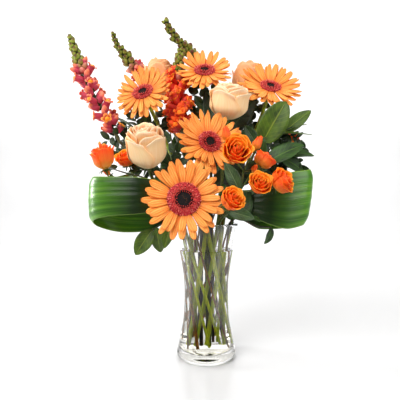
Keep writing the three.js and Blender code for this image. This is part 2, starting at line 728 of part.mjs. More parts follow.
function makeSpray(name, spec) {
  const group = new THREE.Group();
  bouquet.add(group);
  spec.blooms.forEach((bloom, index) => {
    const { facing, base } = bloomBase(bloom);
    const frame = frameAt(base, facing, index * 1.7);
    const shape = bloom.bud
      ? furledBud(bloom.size)
      : roseBloom({ width: bloom.size, height: bloomHeight(bloom), ...SMALL_BLOOM });
    add(`${bloom.name}_petals`, solidOf(moved(shape, frame)), COLOUR.orange, 0.6, group);
  });
  return () => {
    const { foot, rim, onwards } = stemInVase(spec.slot);
    noteInWater(spec.slot, SPRAY_STEM);
    const forks = spec.forks.map(vector);
    const green = [];
    let start = rim;
    let leave = onwards;
    forks.forEach((fork, index) => {
      const arrive = (forks[index + 1] ?? fork.clone().add(fork).sub(start)).clone().sub(start).normalize();
      const choice = firstClear(BENDS.slice(0, 9), (bend) => {
        const way = smoothWay(start, leave, fork, arrive, bend, 3);
        if (index === 0) way.unshift(foot);
        return { shape: limb(way, way.map(() => SPRAY_STEM - 0.2 * index), 6) };
      });
      green.push(choice.shape);
      start = fork;
      leave = arrive;
    });
    for (const bloom of spec.blooms) {
      const { facing, base } = bloomBase(bloom);
      const seat = base.clone().addScaledVector(facing, -GAP);
      const cup = Math.min(4.5, bloom.size * 0.2);
      const fork = forks[bloom.fork];
      const leaveFork = seat.clone().sub(fork).normalize();
      const choice = firstClear(BENDS, (bend) => {
        const neck = seat.clone().addScaledVector(facing, -6);
        const way = smoothWay(fork, leaveFork, neck, facing, bend.clone().multiplyScalar(0.7), 2);
        way.push(...[-2.5, -3.5, 0].map((height) => seat.clone().addScaledVector(facing, height)));
        return { shape: limb(way, [1.3, 1.2, 1.2, cup, [cup * 2.4, cup * 0.9], cup], 4) };
      });
      green.push(choice.shape);
    }
    for (const { fork, tip, width } of spec.leaves) {
      const base = forks[fork];
      const leaf = clearLeaf(base, vector(tip), (end) => ovalLeaf(base, end, width, vector(TOWARDS_VIEWER), 2));
      if (leaf.crowded === 0) green.push(leaf.shape);
    }
    add(`${name}_stem`, joined(green), COLOUR.roseStem, 0.7, group);
  };
}

// ---------------------------------------------------------------- snapdragons

/** One floret along +z: a tube from a point on the stem that opens into five lobes round a throat. */
function snapFloret(length) {
  const ring = (corner) =>
    Array.from({ length: 10 }, (_, i) => {
      const angle = (2 * Math.PI * i) / 10;
      const [radius, height] = corner(i);
      return new THREE.Vector3(Math.cos(angle) * radius * length, Math.sin(angle) * radius * length, height * length);
    });
  const points = [
    new THREE.Vector3(0, 0, -1),
    ...ring(() => [0.2, 0.6]).filter((_, i) => i % 2 === 0),
    ...ring((i) => (i % 2 ? [0.24, 0.86] : [0.46, 1])),
    new THREE.Vector3(0, 0, length * 0.78),
  ];
  const [tube, lobes, throat] = [1, 6, 16];
  const triangles = [];
  for (let side = 0; side < 5; side += 1) {
    const next = (side + 1) % 5;
    const lobe = lobes + side * 2;
    const nextLobe = lobes + next * 2;
    triangles.push([0, tube + next, tube + side]);
    triangles.push([tube + side, lobe + 1, lobe], [tube + side, tube + next, lobe + 1], [tube + next, nextLobe, lobe + 1]);
    triangles.push([throat, lobe, lobe + 1], [throat, lobe + 1, nextLobe]);
  }
  return { points, triangles };
}

function makeSnapdragon(spec) {
  const draw = seededDraw(spec.seed);
  const curve = new THREE.CatmullRomCurve3(spec.spike.map(vector).reverse());
  const { foot, rim, onwards } = stemInVase(spec.slot);
  noteInWater(spec.slot, SPIKE_STEM);
  const spike = curve.getSpacedPoints(7);
  const lower = firstClear(BENDS, (bend) => {
    const way = [foot, ...smoothWay(rim, onwards, spike[0], curve.getTangentAt(0), bend, 5), ...spike.slice(1)];
    const budsFrom = way.length - spike.length + Math.ceil((spike.length - 1) * (1 - spec.budsTo));
    const radii = way.map((_, i) => {
      if (i < budsFrom) return SPIKE_STEM;
      return THREE.MathUtils.lerp(SPIKE_CORE, 1.2, (i - budsFrom) / (way.length - 1 - budsFrom));
    });
    return { shape: limb(way, radii, 5) };
  });
  const parts = [lower.shape];
  const golden = radians(137.5);
  const onSpike = (share, angle, lean, sink) => {
    const place = curve.getPointAt(share);
    const along = curve.getTangentAt(share);
    const side = frameAt(new THREE.Vector3(), along, angle);
    const out = new THREE.Vector3(1, 0, 0).applyMatrix4(side);
    const facing = out.multiplyScalar(Math.cos(lean)).addScaledVector(along, Math.sin(lean)).normalize();
    return { facing, start: place.addScaledVector(facing, sink) };
  };
  const floretShare = 1 - spec.budsTo;
  for (let i = 0; i < spec.florets; i += 1) {
    const share = 0.06 + (floretShare * i) / spec.florets;
    const turns = [0, 0.5, -0.5, 1, -1, 1.6, -1.6, 2.3];
    const length = spec.floret + 2.5 * draw();
    const choice = firstClear(turns, (turn) => {
      const { facing, start } = onSpike(share, i * golden + turn, radians(28), 0.6);
      return { shape: moved(snapFloret(length), frameAt(start, facing, i)) };
    });
    if (choice.crowded === 0) parts.push(choice.shape);
  }
  for (let i = 0; i < spec.buds; i += 1) {
    const share = floretShare + 0.04 + ((1 - floretShare - 0.05) * i) / spec.buds;
    const size = spec.bud * (1 - 0.54 * (i / spec.buds));
    const choice = firstClear([0, 0.6, -0.6], (turn) => {
      const { facing, start } = onSpike(share, i * golden + turn, radians(35), 0);
      const middle = start.clone().addScaledVector(facing, size * 0.55);
      const tip = start.clone().addScaledVector(facing, size + 1.5);
      return { shape: limb([start, middle, tip], [0, size * 0.4, 0], 3) };
    });
    if (choice.crowded === 0) parts.push(choice.shape);
  }
  add(spec.name, joined(parts), COLOUR.snapdragon, 0.6);
}

// ---------------------------------------------------------------- leaves

/** An aspidistra leaf folded into a loop: a blade on edge along its middle line, with its stalk. */
function makeAspidistra({ name, slot, across, line }) {
  const middle = new THREE.CatmullRomCurve3(line.map(([x, y, z]) => new THREE.Vector3(x, y, z)));
  const widths = new THREE.CatmullRomCurve3(line.map(([, , , half], i) => new THREE.Vector3(half, i, 0)));
  const surface = (u, v) => middle.getPoint(v).addScaledVector(vector(across), u * widths.getPoint(v).x);
  const leaf = blade(surface, 3, 13);
  const { foot, rim, onwards } = stemInVase(slot);
  noteInWater(slot, LEAF_STALK);
  const start = middle.getPoint(0);
  const ahead = middle.getPoint(0.04);
  const stalk = firstClear(BENDS.slice(0, 17), (bend) => {
    const way = [foot, ...smoothWay(rim, onwards, start, middle.getTangent(0), bend.clone().multiplyScalar(0.4), 5), ahead];
    return { shape: limb(way, [...way.slice(1).map(() => LEAF_STALK), 1], 6) };
  });
  const whole = joined([leaf, stalk.shape]);
  add(name, whole, COLOUR.aspidistra, 0.4);
}

/** One pointed oval leaf from its base on a twig to its tip. */
function ovalLeaf(base, tip, width, face, sag) {
  const onwards = tip.clone().sub(base);
  const sideways = onwards.clone().cross(face).normalize();
  const normal = sideways.clone().cross(onwards).normalize();
  const surface = (u, v) => {
    const half = 0.7 + (width / 2 - 0.7) * Math.sin(Math.PI * v ** 0.85) ** 0.8;
    const place = base.clone().addScaledVector(onwards, v);
    place.addScaledVector(sideways, u * half);
    return place.addScaledVector(normal, sag * Math.sin(Math.PI * v) + Math.abs(u) * half * 0.22);
  };
  return blade(surface, 2, 3);
}

/** Swings of a leaf's tip to try until it is clear: sideways, up and down, then shorter. */
const SWINGS = [];
for (const share of [1, 0.8, 0.62]) {
  for (const reach of [0, 0.2, 0.4, 0.6]) {
    for (const side of reach === 0 ? [0] : [0, 1, 2, 3, 4, 5]) SWINGS.push({ share, reach, side: (side * Math.PI) / 3 });
  }
}

/** A leaf on a twig, swung clear of what is in place; nothing where there is no room for it. */
function clearLeaf(base, tip, makeLeaf) {
  const reach = tip.clone().sub(base);
  const frame = frameAt(new THREE.Vector3(), reach);
  return firstClear(SWINGS, (swing) => {
    const sway = new THREE.Vector3(Math.cos(swing.side), Math.sin(swing.side), 0).applyMatrix4(frame);
    const swung = reach.clone().addScaledVector(sway, swing.reach * reach.length());
    const end = base.clone().addScaledVector(swung.normalize(), reach.length() * swing.share);
    return { shape: makeLeaf(end) };
  });
}

/** The way of a twig: straight through the vase, then smoothly along its way-points. */
function twigWay(slot, way, bend) {
  const { foot, rim } = stemInVase(slot);
  const bent = way.map((place, i) => vector(place).addScaledVector(bend, i === way.length - 1 ? 0.2 : 1));
  const above = new THREE.CatmullRomCurve3([rim, ...bent]);
  return { foot, above };
}

const TWIG_STEPS = 6;

function makeTwig(spec) {
  noteInWater(spec.slot, TWIG);
  const stem = firstClear(BENDS, (bend) => {
    const { foot, above } = twigWay(spec.slot, spec.way, bend);
    const way = above.getSpacedPoints(TWIG_STEPS);
    return { shape: limb([foot, ...way], [foot, ...way].map((_, i) => TWIG - 0.07 * i), 4), way };
  });
  const parts = [stem.shape];
  spec.leaves.forEach(([share, tip, width, face], index) => {
    const step = Math.min(Math.floor(share * TWIG_STEPS), TWIG_STEPS - 1);
    const base = stem.way[step].clone().lerp(stem.way[step + 1], share * TWIG_STEPS - step);
    const leaf = clearLeaf(base, vector(tip), (end) => ovalLeaf(base, end, width, vector(face), 3));
    if (leaf.crowded === 0) parts.push(leaf.shape);
  });
  add(spec.name, joined(parts), COLOUR.leaf, 0.5);
}

/** One slim leaflet, flat across the view. */
function slimLeaf(base, tip, width) {
  const onwards = tip.clone().sub(base);
  const sideways = onwards.clone().cross(vector(TOWARDS_VIEWER)).setLength(width / 2);
  const up = sideways.clone().cross(onwards).setLength(BLADE * 0.7);
  const middle = base.clone().addScaledVector(onwards, 0.45);
  const ring = [sideways, up, sideways.clone().negate(), up.clone().negate()].map((arm) => middle.clone().add(arm));
  return skin([[base], ring, [tip]]);
}

function makeFineTwig(spec) {
  noteInWater(spec.slot, TWIG);
  const stem = firstClear(BENDS, (bend) => {
    const { foot, above } = twigWay(spec.slot, spec.way, bend);
    const way = [foot, ...above.getSpacedPoints(8)];
    return { shape: limb(way, way.map((_, i) => TWIG - 0.08 * i), 5), above };
  });
  const parts = [stem.shape];
  for (let i = 0; i < spec.leaflets; i += 1) {
    const share = 0.4 + (0.6 * i) / (spec.leaflets - 1);
    const base = stem.above.getPointAt(share);
    const along = stem.above.getTangentAt(share);
    const side = i % 2 ? 1 : -1;
    const tip = base.clone().addScaledVector(along, spec.length * 0.6);
    tip.add(new THREE.Vector3(0, -0.4 * side, side * 0.8).multiplyScalar(spec.length));
    const leaf = clearLeaf(base, tip, (end) => slimLeaf(base, end, spec.width));
    if (leaf.crowded === 0) parts.push(leaf.shape);
  }
  add(spec.name, joined(parts), COLOUR.fine, 0.6);
}

// ---------------------------------------------------------------- water

/** The water: what fills the vase to its level, with a plain hole for each stem. */
function makeWater() {
  const outline = [[0, VASE_FLOOR + GAP], ...insideOutline(WATER_LEVEL, GAP), [0, WATER_LEVEL]];
  const holes = stemsInWater.map(({ foot, rim, radius }) => {
    const onwards = rim.clone().sub(foot).normalize();
    const bottom = foot.clone().addScaledVector(onwards, -GAP);
    return limb([bottom, rim], [radius * 1.25 + GAP, radius * 1.25 + GAP], 5);
  });
  return largestBody(solidOf(turned(outline, VASE_SIDES)).subtract(wasm.Manifold.union(holes.map(solidOf))));
}

// ---------------------------------------------------------------- the whole bouquet

add('vase', makeVase(), COLOUR.glass, 0.05);
const stemMakers = [
  ...GERBERAS.map((spec, index) => makeGerbera(spec, index + 1)),
  ...ROSES.map((spec, index) => makeRose(spec, index + 1)),
  makeSpray('spray_right', RIGHT_SPRAY),
  makeSpray('spray_left', LEFT_SPRAY),
  makeSpray('spray_back', BACK_SPRAY),
];
makeAspidistra(ASPIDISTRA_LEFT);
makeAspidistra(ASPIDISTRA_RIGHT);
stemMakers.forEach((makeStem) => makeStem());
SNAPDRAGONS.forEach(makeSnapdragon);
TWIGS.forEach(makeTwig);
makeFineTwig(FINE_TWIG);
add('water', makeWater(), COLOUR.water, 0.05);

export default bouquet;
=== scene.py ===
import math

import bpy
import numpy as np
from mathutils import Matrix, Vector


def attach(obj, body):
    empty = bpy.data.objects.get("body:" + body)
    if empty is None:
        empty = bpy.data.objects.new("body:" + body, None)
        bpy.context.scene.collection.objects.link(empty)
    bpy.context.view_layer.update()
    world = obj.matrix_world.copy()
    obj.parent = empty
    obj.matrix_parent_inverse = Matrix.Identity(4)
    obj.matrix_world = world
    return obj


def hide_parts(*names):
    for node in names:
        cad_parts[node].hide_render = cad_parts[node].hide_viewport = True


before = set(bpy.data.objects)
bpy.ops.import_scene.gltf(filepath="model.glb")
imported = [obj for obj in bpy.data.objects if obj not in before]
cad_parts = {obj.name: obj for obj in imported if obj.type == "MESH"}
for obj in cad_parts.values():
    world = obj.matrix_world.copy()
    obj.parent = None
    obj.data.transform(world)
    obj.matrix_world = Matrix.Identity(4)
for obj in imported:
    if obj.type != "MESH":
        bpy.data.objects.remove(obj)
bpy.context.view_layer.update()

# The looks of a bouquet of gerberas, roses, spray roses, snapdragons and leaves in a clear vase.
# Each flower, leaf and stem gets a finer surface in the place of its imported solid.
# Lengths are in millimetres until a mesh is made, in metres. +Z is up and the photo looks along +Y.

MM = 0.001

# ---------------------------------------------------------------- the bouquet's layout, as in the solids

GAP = 0.35  # between a bloom and the cup under it
VASE_HEIGHT = 203
VASE_WALL = 3.5
VASE_FLOOR = 12
# radius and height of points on the vase's outside, from the foot to the rim
VASE_OUTLINE = np.array([
    [42, 0], [44.8, 3.5], [45.2, 8], [43.3, 15], [38.6, 39], [35.4, 57], [33.8, 92],
    [34.8, 120], [38, 142], [41.6, 163], [45.2, 185], [49.2, VASE_HEIGHT],
])
WATER_LEVEL = 164

STEM_FOOT = 18
# rings of stems that cross in the vase: how many, radius at the foot and at the rim, twist in degrees
OUTER = dict(count=13, foot=34, rim=40, twist=90)
MIDDLE = dict(count=9, foot=22, rim=26, twist=-80)
INNER = dict(count=5, foot=8, rim=8.5, twist=25)
FRONT = -90  # the angle of the first stem of a ring, in degrees

# radii of stems
GERBERA_STEM = 3
ROSE_STEM = 2.6
SPRAY_STEM = 2.2
SPIKE_STEM = 2.4
SPIKE_CORE = 4.2
LEAF_STALK = 2
TWIG = 1.6

GERBERAS = [
    dict(
        centre=[-31, -85, 241], facing=[0.05, -0.98, 0.15],
        size=109, disc=46, lift=[5, 4], slot=(OUTER, 0),
    ),
    dict(
        centre=[4, -37, 324], facing=[0.25, -0.9, 0.35],
        size=99, disc=34, lift=[9, 6], slot=(MIDDLE, 0),
    ),
    dict(
        centre=[-2, 45, 455], facing=[0, -0.74, 0.67],
        size=95, disc=35, lift=[11, -3], slot=(INNER, 0),
    ),
    dict(
        centre=[105, 31, 424], facing=[0.1, -0.72, 0.68],
        size=106, disc=34, lift=[13, -1], slot=(MIDDLE, 2),
    ),
    dict(
        centre=[-99, 10, 409], facing=[-0.25, -0.77, 0.58],
        size=94, disc=34, lift=[15, -10], slot=(MIDDLE, 6),
    ),
]
ROSES = [
    dict(base=[-85, -25, 289], facing=[-0.06, -0.5, 0.86], width=57, height=66, slot=(MIDDLE, 7)),
    dict(base=[32, 3, 366], facing=[0.12, -0.36, 0.93], width=60, height=56, slot=(MIDDLE, 1)),
    dict(base=[-87, 88, 420], facing=[0.08, 0, 1], width=53, height=66, slot=(INNER, 3)),
    dict(base=[72, 92, 418], facing=[0.1, 0.1, 1], width=56, height=62, slot=(MIDDLE, 4)),
]
SPRAYS = {
    "spray_right": dict(
        slot=(OUTER, 1),
        forks=[[30, -58, 224], [46, -56, 252], [52, -52, 280]],
        leaves=[(1, [26, -56, 292], 20), (0, [66, -62, 214], 18), (2, [96, -34, 300], 22)],
        blooms=[
            ("spray_rose_1", 2, [40, -77, 307], [0.1, -0.93, 0.3], 37, False),
            ("spray_bud_1", 2, [27, -60, 333], [-0.1, -0.3, 0.95], 16, True),
            ("spray_rose_2", 0, [31, -112, 241], [0.45, -0.75, 0.45], 30, False),
            ("spray_rose_3", 1, [70, -88, 262], [0.1, -0.9, 0.4], 29, False),
            ("spray_rose_4", 1, [101, -78, 265], [0.75, -0.5, 0.4], 33, False),
            ("spray_rose_5", 2, [80, -55, 296], [0.6, 0.1, 0.75], 28, False),
            ("spray_bud_2", 2, [73, -45, 322], [0.5, 0, 0.85], 17, True),
            ("spray_bud_3", 1, [66, -64, 284], [0.4, -0.5, 0.7], 10, True),
        ],
    ),
    "spray_left": dict(
        slot=(OUTER, 11),
        forks=[[-70, -14, 246], [-112, -12, 278]],
        leaves=[(0, [-76, -30, 286], 20), (1, [-128, 22, 268], 18)],
        blooms=[
            ("spray_rose_6", 1, [-149, -45, 302], [-0.2, -0.2, 0.95], 32, False),
            ("spray_rose_7", 1, [-125, 6, 306], [-0.2, -0.6, 0.75], 31, False),
            ("spray_bud_4", 1, [-150, -20, 282], [-0.7, -0.3, 0.5], 10, True),
        ],
    ),
    "spray_back": dict(
        slot=(MIDDLE, 3),
        forks=[[52, 26, 270], [84, 28, 325]],
        leaves=[(1, [62, 20, 360], 20)],
        blooms=[
            ("spray_rose_8", 1, [141, 22, 341], [0.7, -0.2, 0.5], 22, False),
            ("spray_bud_5", 1, [112, 30, 386], [0.3, -0.1, 0.9], 12, True),
        ],
    ),
}
SNAPDRAGONS = [
    dict(
        name="snapdragon_left", slot=(OUTER, 9), seed=3, scarlet=False,
        buds=19, bud=14, florets=15, floret=24, buds_to=0.36,
        spike=[
            [-222, 25, 509], [-209, 25, 475], [-194, 25, 437], [-180, 25, 407], [-165, 25, 382],
            [-142, 30, 337],
        ],
    ),
    dict(
        name="snapdragon_back_left", slot=(MIDDLE, 5), seed=5, scarlet=False,
        buds=17, bud=14, florets=4, floret=23, buds_to=0.72,
        spike=[
            [-160, 65, 530], [-157, 78, 516], [-148, 90, 503], [-137, 102, 491], [-126, 114, 481],
            [-110, 124, 456],
        ],
    ),
    dict(
        name="snapdragon_back", slot=(INNER, 2), seed=7, scarlet=True,
        buds=20, bud=17, florets=2, floret=21, buds_to=0.75,
        spike=[
            [-68, 30, 533], [-57, 48, 522], [-44, 62, 511], [-31, 78, 504], [-18, 92, 495], [-6, 100, 475],
            [1, 98, 439],
        ],
    ),
    dict(
        name="snapdragon_centre", slot=(INNER, 4), seed=11, scarlet=True,
        buds=15, bud=18, florets=16, floret=28, buds_to=0.36,
        spike=[
            [-42, 60, 501], [-45, 66, 481], [-46, 70, 455], [-46, 60, 428], [-44, 42, 397], [-42, 28, 370],
            [-36, 20, 340],
        ],
    ),
]
# blooms that the scene makes higher than the height of their solid
TALL_BLOOMS = {"spray_rose_6": 36, "rose_3": 72, "rose_4": 70}
# the folded leaves: the direction of their width, and their middle line as X, Y, Z and half width
ASPIDISTRAS = [
    dict(name="aspidistra_left", slot=(OUTER, 10), across=[0, 0, 1], line=[
        [-50, 22, 226, 5], [-66, 28, 226, 22], [-95, 32, 225, 36], [-140, 28, 229, 41],
        [-168, 10, 235, 39], [-177, -14, 238, 36], [-168, -38, 242, 32], [-140, -55, 245, 28],
        [-100, -62, 246, 26], [-66, -54, 246, 22],
    ]),
    dict(name="aspidistra_right", slot=(OUTER, 3), across=[0.12, 0, 0.99], line=[
        [52, 20, 225, 5], [66, 28, 225, 20], [92, 35, 225, 33], [128, 30, 231, 38],
        [151, 8, 239, 40], [158, -15, 244, 41], [151, -32, 244, 41], [124, -43, 240, 42],
        [92, -44, 238, 33], [68, -38, 237, 21],
    ]),
]
FOLD_AT = 0.52  # where the fold is along such a leaf
TOWARDS_VIEWER = [0, -1, 0.25]
UPWARDS = [0, -0.35, 1]
# each leaf: place along the twig, tip, width, and where its face looks if not towards the viewer
TWIGS = [
    dict(
        name="foliage_right_upper", slot=(OUTER, 5), way=[[62, 18, 272], [84, -14, 331], [120, 4, 345]],
        leaves=[
            (0.77, [118, -26, 386], 41), (1, [164, 5, 380], 22),
            (0.97, [160, 14, 360], 16, UPWARDS), (0.84, [163, -6, 340], 14, UPWARDS),
        ],
    ),
    dict(
        name="foliage_right_lower", slot=(OUTER, 4), way=[[66, 8, 258], [84, -22, 300], [112, -14, 308]],
        leaves=[
            (0.78, [146, -34, 316], 30, [0.1, -0.8, 0.6]),
            (1, [165, -8, 308], 20, [0.2, -0.7, 0.7]),
            (0.95, [154, 4, 282], 30, [0.1, -0.8, 0.5]), (0.5, [86, -28, 330], 20),
        ],
    ),
    dict(
        name="foliage_centre", slot=(INNER, 1), way=[[14, 34, 290], [30, 52, 350], [44, 60, 392]],
        leaves=[
            (0.72, [86, 52, 412], 34), (0.62, [-20, 58, 424], 32), (0.45, [-34, 40, 330], 26),
            (0.5, [66, 24, 330], 28), (1, [46, 96, 430], 28), (0.2, [-34, 14, 292], 34),
            (0.3, [62, 18, 300], 34), (0.9, [78, 40, 370], 34),
        ],
    ),
    dict(
        name="foliage_left_upper", slot=(OUTER, 8), way=[[-60, 48, 280], [-98, 54, 335], [-124, 56, 362]],
        leaves=[
            (1, [-160, 50, 378], 20, UPWARDS), (0.85, [-98, 52, 392], 22),
            (0.6, [-60, 40, 338], 28), (0.7, [-130, 70, 320], 24), (0.35, [-50, 10, 332], 34),
        ],
    ),
    dict(
        name="foliage_left_lower", slot=(OUTER, 12), way=[[-30, -50, 219], [-52, -46, 212], [-80, -24, 196]],
        leaves=[(1, [-106, -22, 158], 26), (0.5, [-60, -54, 172], 18), (0.9, [-70, -8, 160], 20)],
    ),
    dict(
        name="foliage_right_front", slot=(OUTER, 2), way=[[44, -40, 214], [72, -26, 202], [100, -4, 198]],
        leaves=[
            (1, [90, -2, 172], 15, [0.6, -0.8, 0]), (0.35, [74, -62, 210], 16, UPWARDS),
            (0.15, [24, -20, 264], 28), (0.3, [60, -30, 254], 26),
        ],
    ),
    dict(
        name="foliage_back_right", slot=(OUTER, 6), way=[[34, 84, 270], [58, 112, 335], [76, 122, 392]],
        leaves=[
            (0.35, [60, 104, 236], 26, [0.3, 0.9, 0.4]),
            (0.5, [14, 112, 300], 28, [0, 1, 0.3]), (0.78, [34, 132, 380], 28, [0, 1, 0.3]),
            (0.85, [118, 112, 372], 28, [0.4, 0.9, 0.3]), (1, [78, 134, 440], 26, [0, 1, 0.3]),
        ],
    ),
    dict(
        name="foliage_back_left", slot=(OUTER, 7), way=[[-34, 88, 262], [-56, 112, 318], [-66, 124, 372]],
        leaves=[
            (0.35, [-70, 104, 230], 26, [-0.3, 0.9, 0.4]),
            (0.5, [-14, 116, 296], 28, [0, 1, 0.3]), (0.8, [-28, 132, 376], 28, [0, 1, 0.3]),
            (0.9, [-104, 124, 366], 26, [-0.4, 0.9, 0.3]),
            (1, [-60, 130, 420], 26, [0, 1, 0.3]),
        ],
    ),
]
FINE_TWIG = dict(
    name="fine_foliage", slot=(MIDDLE, 8), leaflets=14, length=22, width=4,
    way=[[-56, -12, 248], [-92, -4, 272], [-122, -8, 280], [-150, 2, 290]],
)

# small side shoots of the twigs: place along the twig, tip, number of leaves, their length and width
SPRIGS = {
    "foliage_centre": [
        (0.62, [-20, 62, 436], 9, 26, 14), (0.7, [-8, 50, 400], 9, 24, 14),
        (0.95, [96, 62, 404], 9, 24, 12), (0.3, [-50, 16, 318], 9, 26, 14),
        (0.35, [-30, 24, 350], 7, 24, 12), (0.9, [88, 66, 372], 7, 24, 14),
        (0.45, [-70, 44, 380], 7, 22, 12), (0.6, [-20, 46, 386], 7, 20, 12),
        (0.8, [12, 54, 426], 7, 20, 11),
    ],
    "foliage_left_upper": [
        (1, [-162, 34, 336], 9, 22, 10), (0.6, [-140, 24, 312], 9, 22, 11),
        (0.4, [-112, 10, 286], 9, 22, 11), (0.8, [-72, 40, 366], 9, 24, 12),
        (0.3, [-60, 20, 300], 7, 24, 12), (1, [-142, 22, 354], 7, 18, 10),
        (0.9, [-118, 22, 380], 7, 20, 11), (0.8, [-150, 30, 322], 7, 18, 10),
        (0.5, [-142, 18, 294], 7, 18, 9),
    ],
    "foliage_right_upper": [(0.9, [126, 8, 326], 9, 22, 11), (0.95, [148, 2, 332], 7, 17, 6)],
    "foliage_right_lower": [
        (0.8, [124, 6, 284], 9, 22, 12), (1, [150, -4, 320], 7, 17, 7), (1, [148, 2, 294], 7, 18, 7),
        (0.6, [98, -6, 270], 7, 22, 12), (0.45, [56, 6, 280], 7, 20, 11),
        (0.7, [106, 2, 328], 7, 20, 11),
    ],
    "foliage_right_front": [(0.3, [66, -24, 246], 7, 20, 10)],
}

# ---------------------------------------------------------------- vectors, frames and smooth ways


def unit(vectors):
    """Vectors brought to length 1."""
    vectors = np.asarray(vectors, float)
    length = np.linalg.norm(vectors, axis=-1, keepdims=True)
    return vectors / np.where(length < 1e-9, 1, length)


def smooth(values, low, high):
    """0 below low, 1 above high, and 3t² − 2t³ between."""
    t = np.clip((values - low) / (high - low), 0, 1)
    return t * t * (3 - 2 * t)


def frame_at(origin, facing, turn=0.0):
    """A frame that looks along facing: its x is Y cross z, its y is z cross x, both turned about z."""
    z = unit(facing)
    x = unit(np.cross([0, 1, 0], z))
    y = np.cross(z, x)
    c, s = math.cos(turn), math.sin(turn)
    return np.asarray(origin, float), np.stack([c * x + s * y, c * y - s * x, z])


def placed(points, place):
    """Points of a frame brought to the bouquet: origin + x·X + y·Y + z·Z."""
    origin, axes = place
    return origin + points @ axes


def grid_of(across, along):
    """The places across, −1 to 1 in a row, and along, 0 to 1 in a column, of a sheet's grid."""
    return np.linspace(-1, 1, across)[None, :], np.linspace(0, 1, along)[:, None]


def circle(count):
    """Angles in equal steps once round."""
    return np.linspace(0, 2 * math.pi, count, endpoint=False)


def round_axis(out, angle, height):
    """Points at a distance out from the z axis, at an angle about it, and at a height."""
    return np.stack(np.broadcast_arrays(out * np.cos(angle), out * np.sin(angle), height), -1)


def swung(x, y, z, angle):
    """The points of a part that lies along x, turned about z by an angle."""
    c, s = math.cos(angle), math.sin(angle)
    return np.stack(np.broadcast_arrays(x, y, z), -1) @ np.array([[c, s, 0], [-s, c, 0], [0, 0, 1]])


def on_line(share, shares, points):
    """The point at a share of a line of straight pieces, whose corners stand at the shares given."""
    return np.array([np.interp(share, shares, points[:, axis]) for axis in range(3)])


def bezier(start, leave, end, arrive, bend, steps):
    """The cubic curve from start, leaving along leave, to end, arriving along arrive. Its handles are
    0.36 of the distance long, and both are moved by bend."""
    t = np.linspace(0, 1, steps + 1)[:, None]
    s = 1 - t
    reach = 0.36 * np.linalg.norm(end - start)
    first = start + reach * leave + bend
    second = end - reach * arrive + bend
    return s**3 * start + 3 * s**2 * t * first + 3 * s * t**2 * second + t**3 * end


class Way:
    """The centripetal Catmull-Rom curve through some points, whose ends are continued straight on."""

    def __init__(self, points):
        points = np.asarray(points, float)
        self.knots = np.concatenate([[2 * points[0] - points[1]], points, [2 * points[-1] - points[-2]]])
        self.spans = len(points) - 1
        self.fine = np.linspace(0, 1, 201)  # the parameters at which the curve's length is measured
        steps = np.linalg.norm(np.diff(self.at(self.fine), axis=0), axis=1)
        self.run = np.concatenate([[0], np.cumsum(steps)])

    def at(self, t):
        """Points by the curve's own parameter, 0 to 1 with an equal share for each span."""
        place = np.clip(np.atleast_1d(np.asarray(t, float)), 0, 1) * self.spans
        index = np.minimum(place.astype(int), self.spans - 1)
        w = (place - index)[:, None]
        a, b, c, d = (self.knots[index + k] for k in range(4))
        ab, bc, cd = (np.sqrt(np.linalg.norm(q - p, axis=1))[:, None] for p, q in ((a, b), (b, c), (c, d)))
        leave = ((b - a) / ab - (c - a) / (ab + bc) + (c - b) / bc) * bc
        arrive = ((c - b) / bc - (d - b) / (bc + cd) + (d - c) / cd) * bc
        square = (3 * (c - b) - 2 * leave - arrive) * w**2
        return b + leave * w + square + (2 * (b - c) + leave + arrive) * w**3

    def along(self, share):
        """Points by the share of the curve's length."""
        return self.at(np.interp(np.atleast_1d(share) * self.run[-1], self.run, self.fine))

    def onwards(self, share):
        """Unit tangents by the share of the curve's length, from a little before it to a little after."""
        share, little = np.atleast_1d(share), 0.002
        return unit(self.along(np.minimum(share + little, 1)) - self.along(np.maximum(share - little, 0)))


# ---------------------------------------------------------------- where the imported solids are


def corners_of(node):
    """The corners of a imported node."""
    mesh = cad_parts[node].data
    corners = np.empty(len(mesh.vertices) * 3, np.float32)
    mesh.vertices.foreach_get("co", corners)
    return corners.reshape(-1, 3).astype(float) / MM


def misses(points, corners):
    """How far each point lies from the nearest corner."""
    return np.sqrt(((np.atleast_2d(points)[:, None] - corners[None]) ** 2).sum(-1)).min(1)


# how a solid's limb may be bent to pass another: not at all, or by four reaches in eight directions
BENDS = np.array([[0, 0, 0]] + [
    [math.cos(side * math.pi / 4 + reach) * reach, math.sin(side * math.pi / 4 + reach) * reach, 0]
    for reach in (8, 16, 26, 38)
    for side in range(8)
])
# how a solid's leaf may be set to pass another: its length, and the sideways swing of its tip, as shares
LEAF_LENGTHS = (1, 0.8, 0.62)
LEAF_SWINGS = (0, 0.2, 0.4, 0.6)
NO_LEAF = 1.2  # with no corner as near as this to any of its tips, the solid was left without the leaf


def packed_bend(middles, radius, corners, bends=BENDS):
    """The bend that a packed limb took: the one whose rings have their middles at the limb's radius from
    the corners."""
    faults = [np.abs(misses(middles(bend), corners) - radius).mean() for bend in bends]
    return bends[int(np.argmin(faults))]


def packed_limb(ends, radius, corners, steps, rings=5, told=slice(1, None), share=1.0, bends=BENDS):
    """The curve of a packed limb with the bend that it took. Its ends are start, leave, end and arrive.
    The solid has rings at equal steps of it, and those told by the slice decide."""
    bend = packed_bend(lambda bend: bezier(*ends, share * bend, rings)[told], radius, corners, bends)
    return bezier(*ends, share * bend, steps)


def packed_stem(slot, neck, facing, radius, node, sides):
    """A stem from its cut end in the vase to the neck of a bloom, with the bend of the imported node."""
    foot, rim, leave = stem_in_vase(slot)
    rise = packed_limb((rim, leave, neck, facing), radius, corners_of(node), 40)
    return tube(np.concatenate([[foot], rise]), radius, sides)


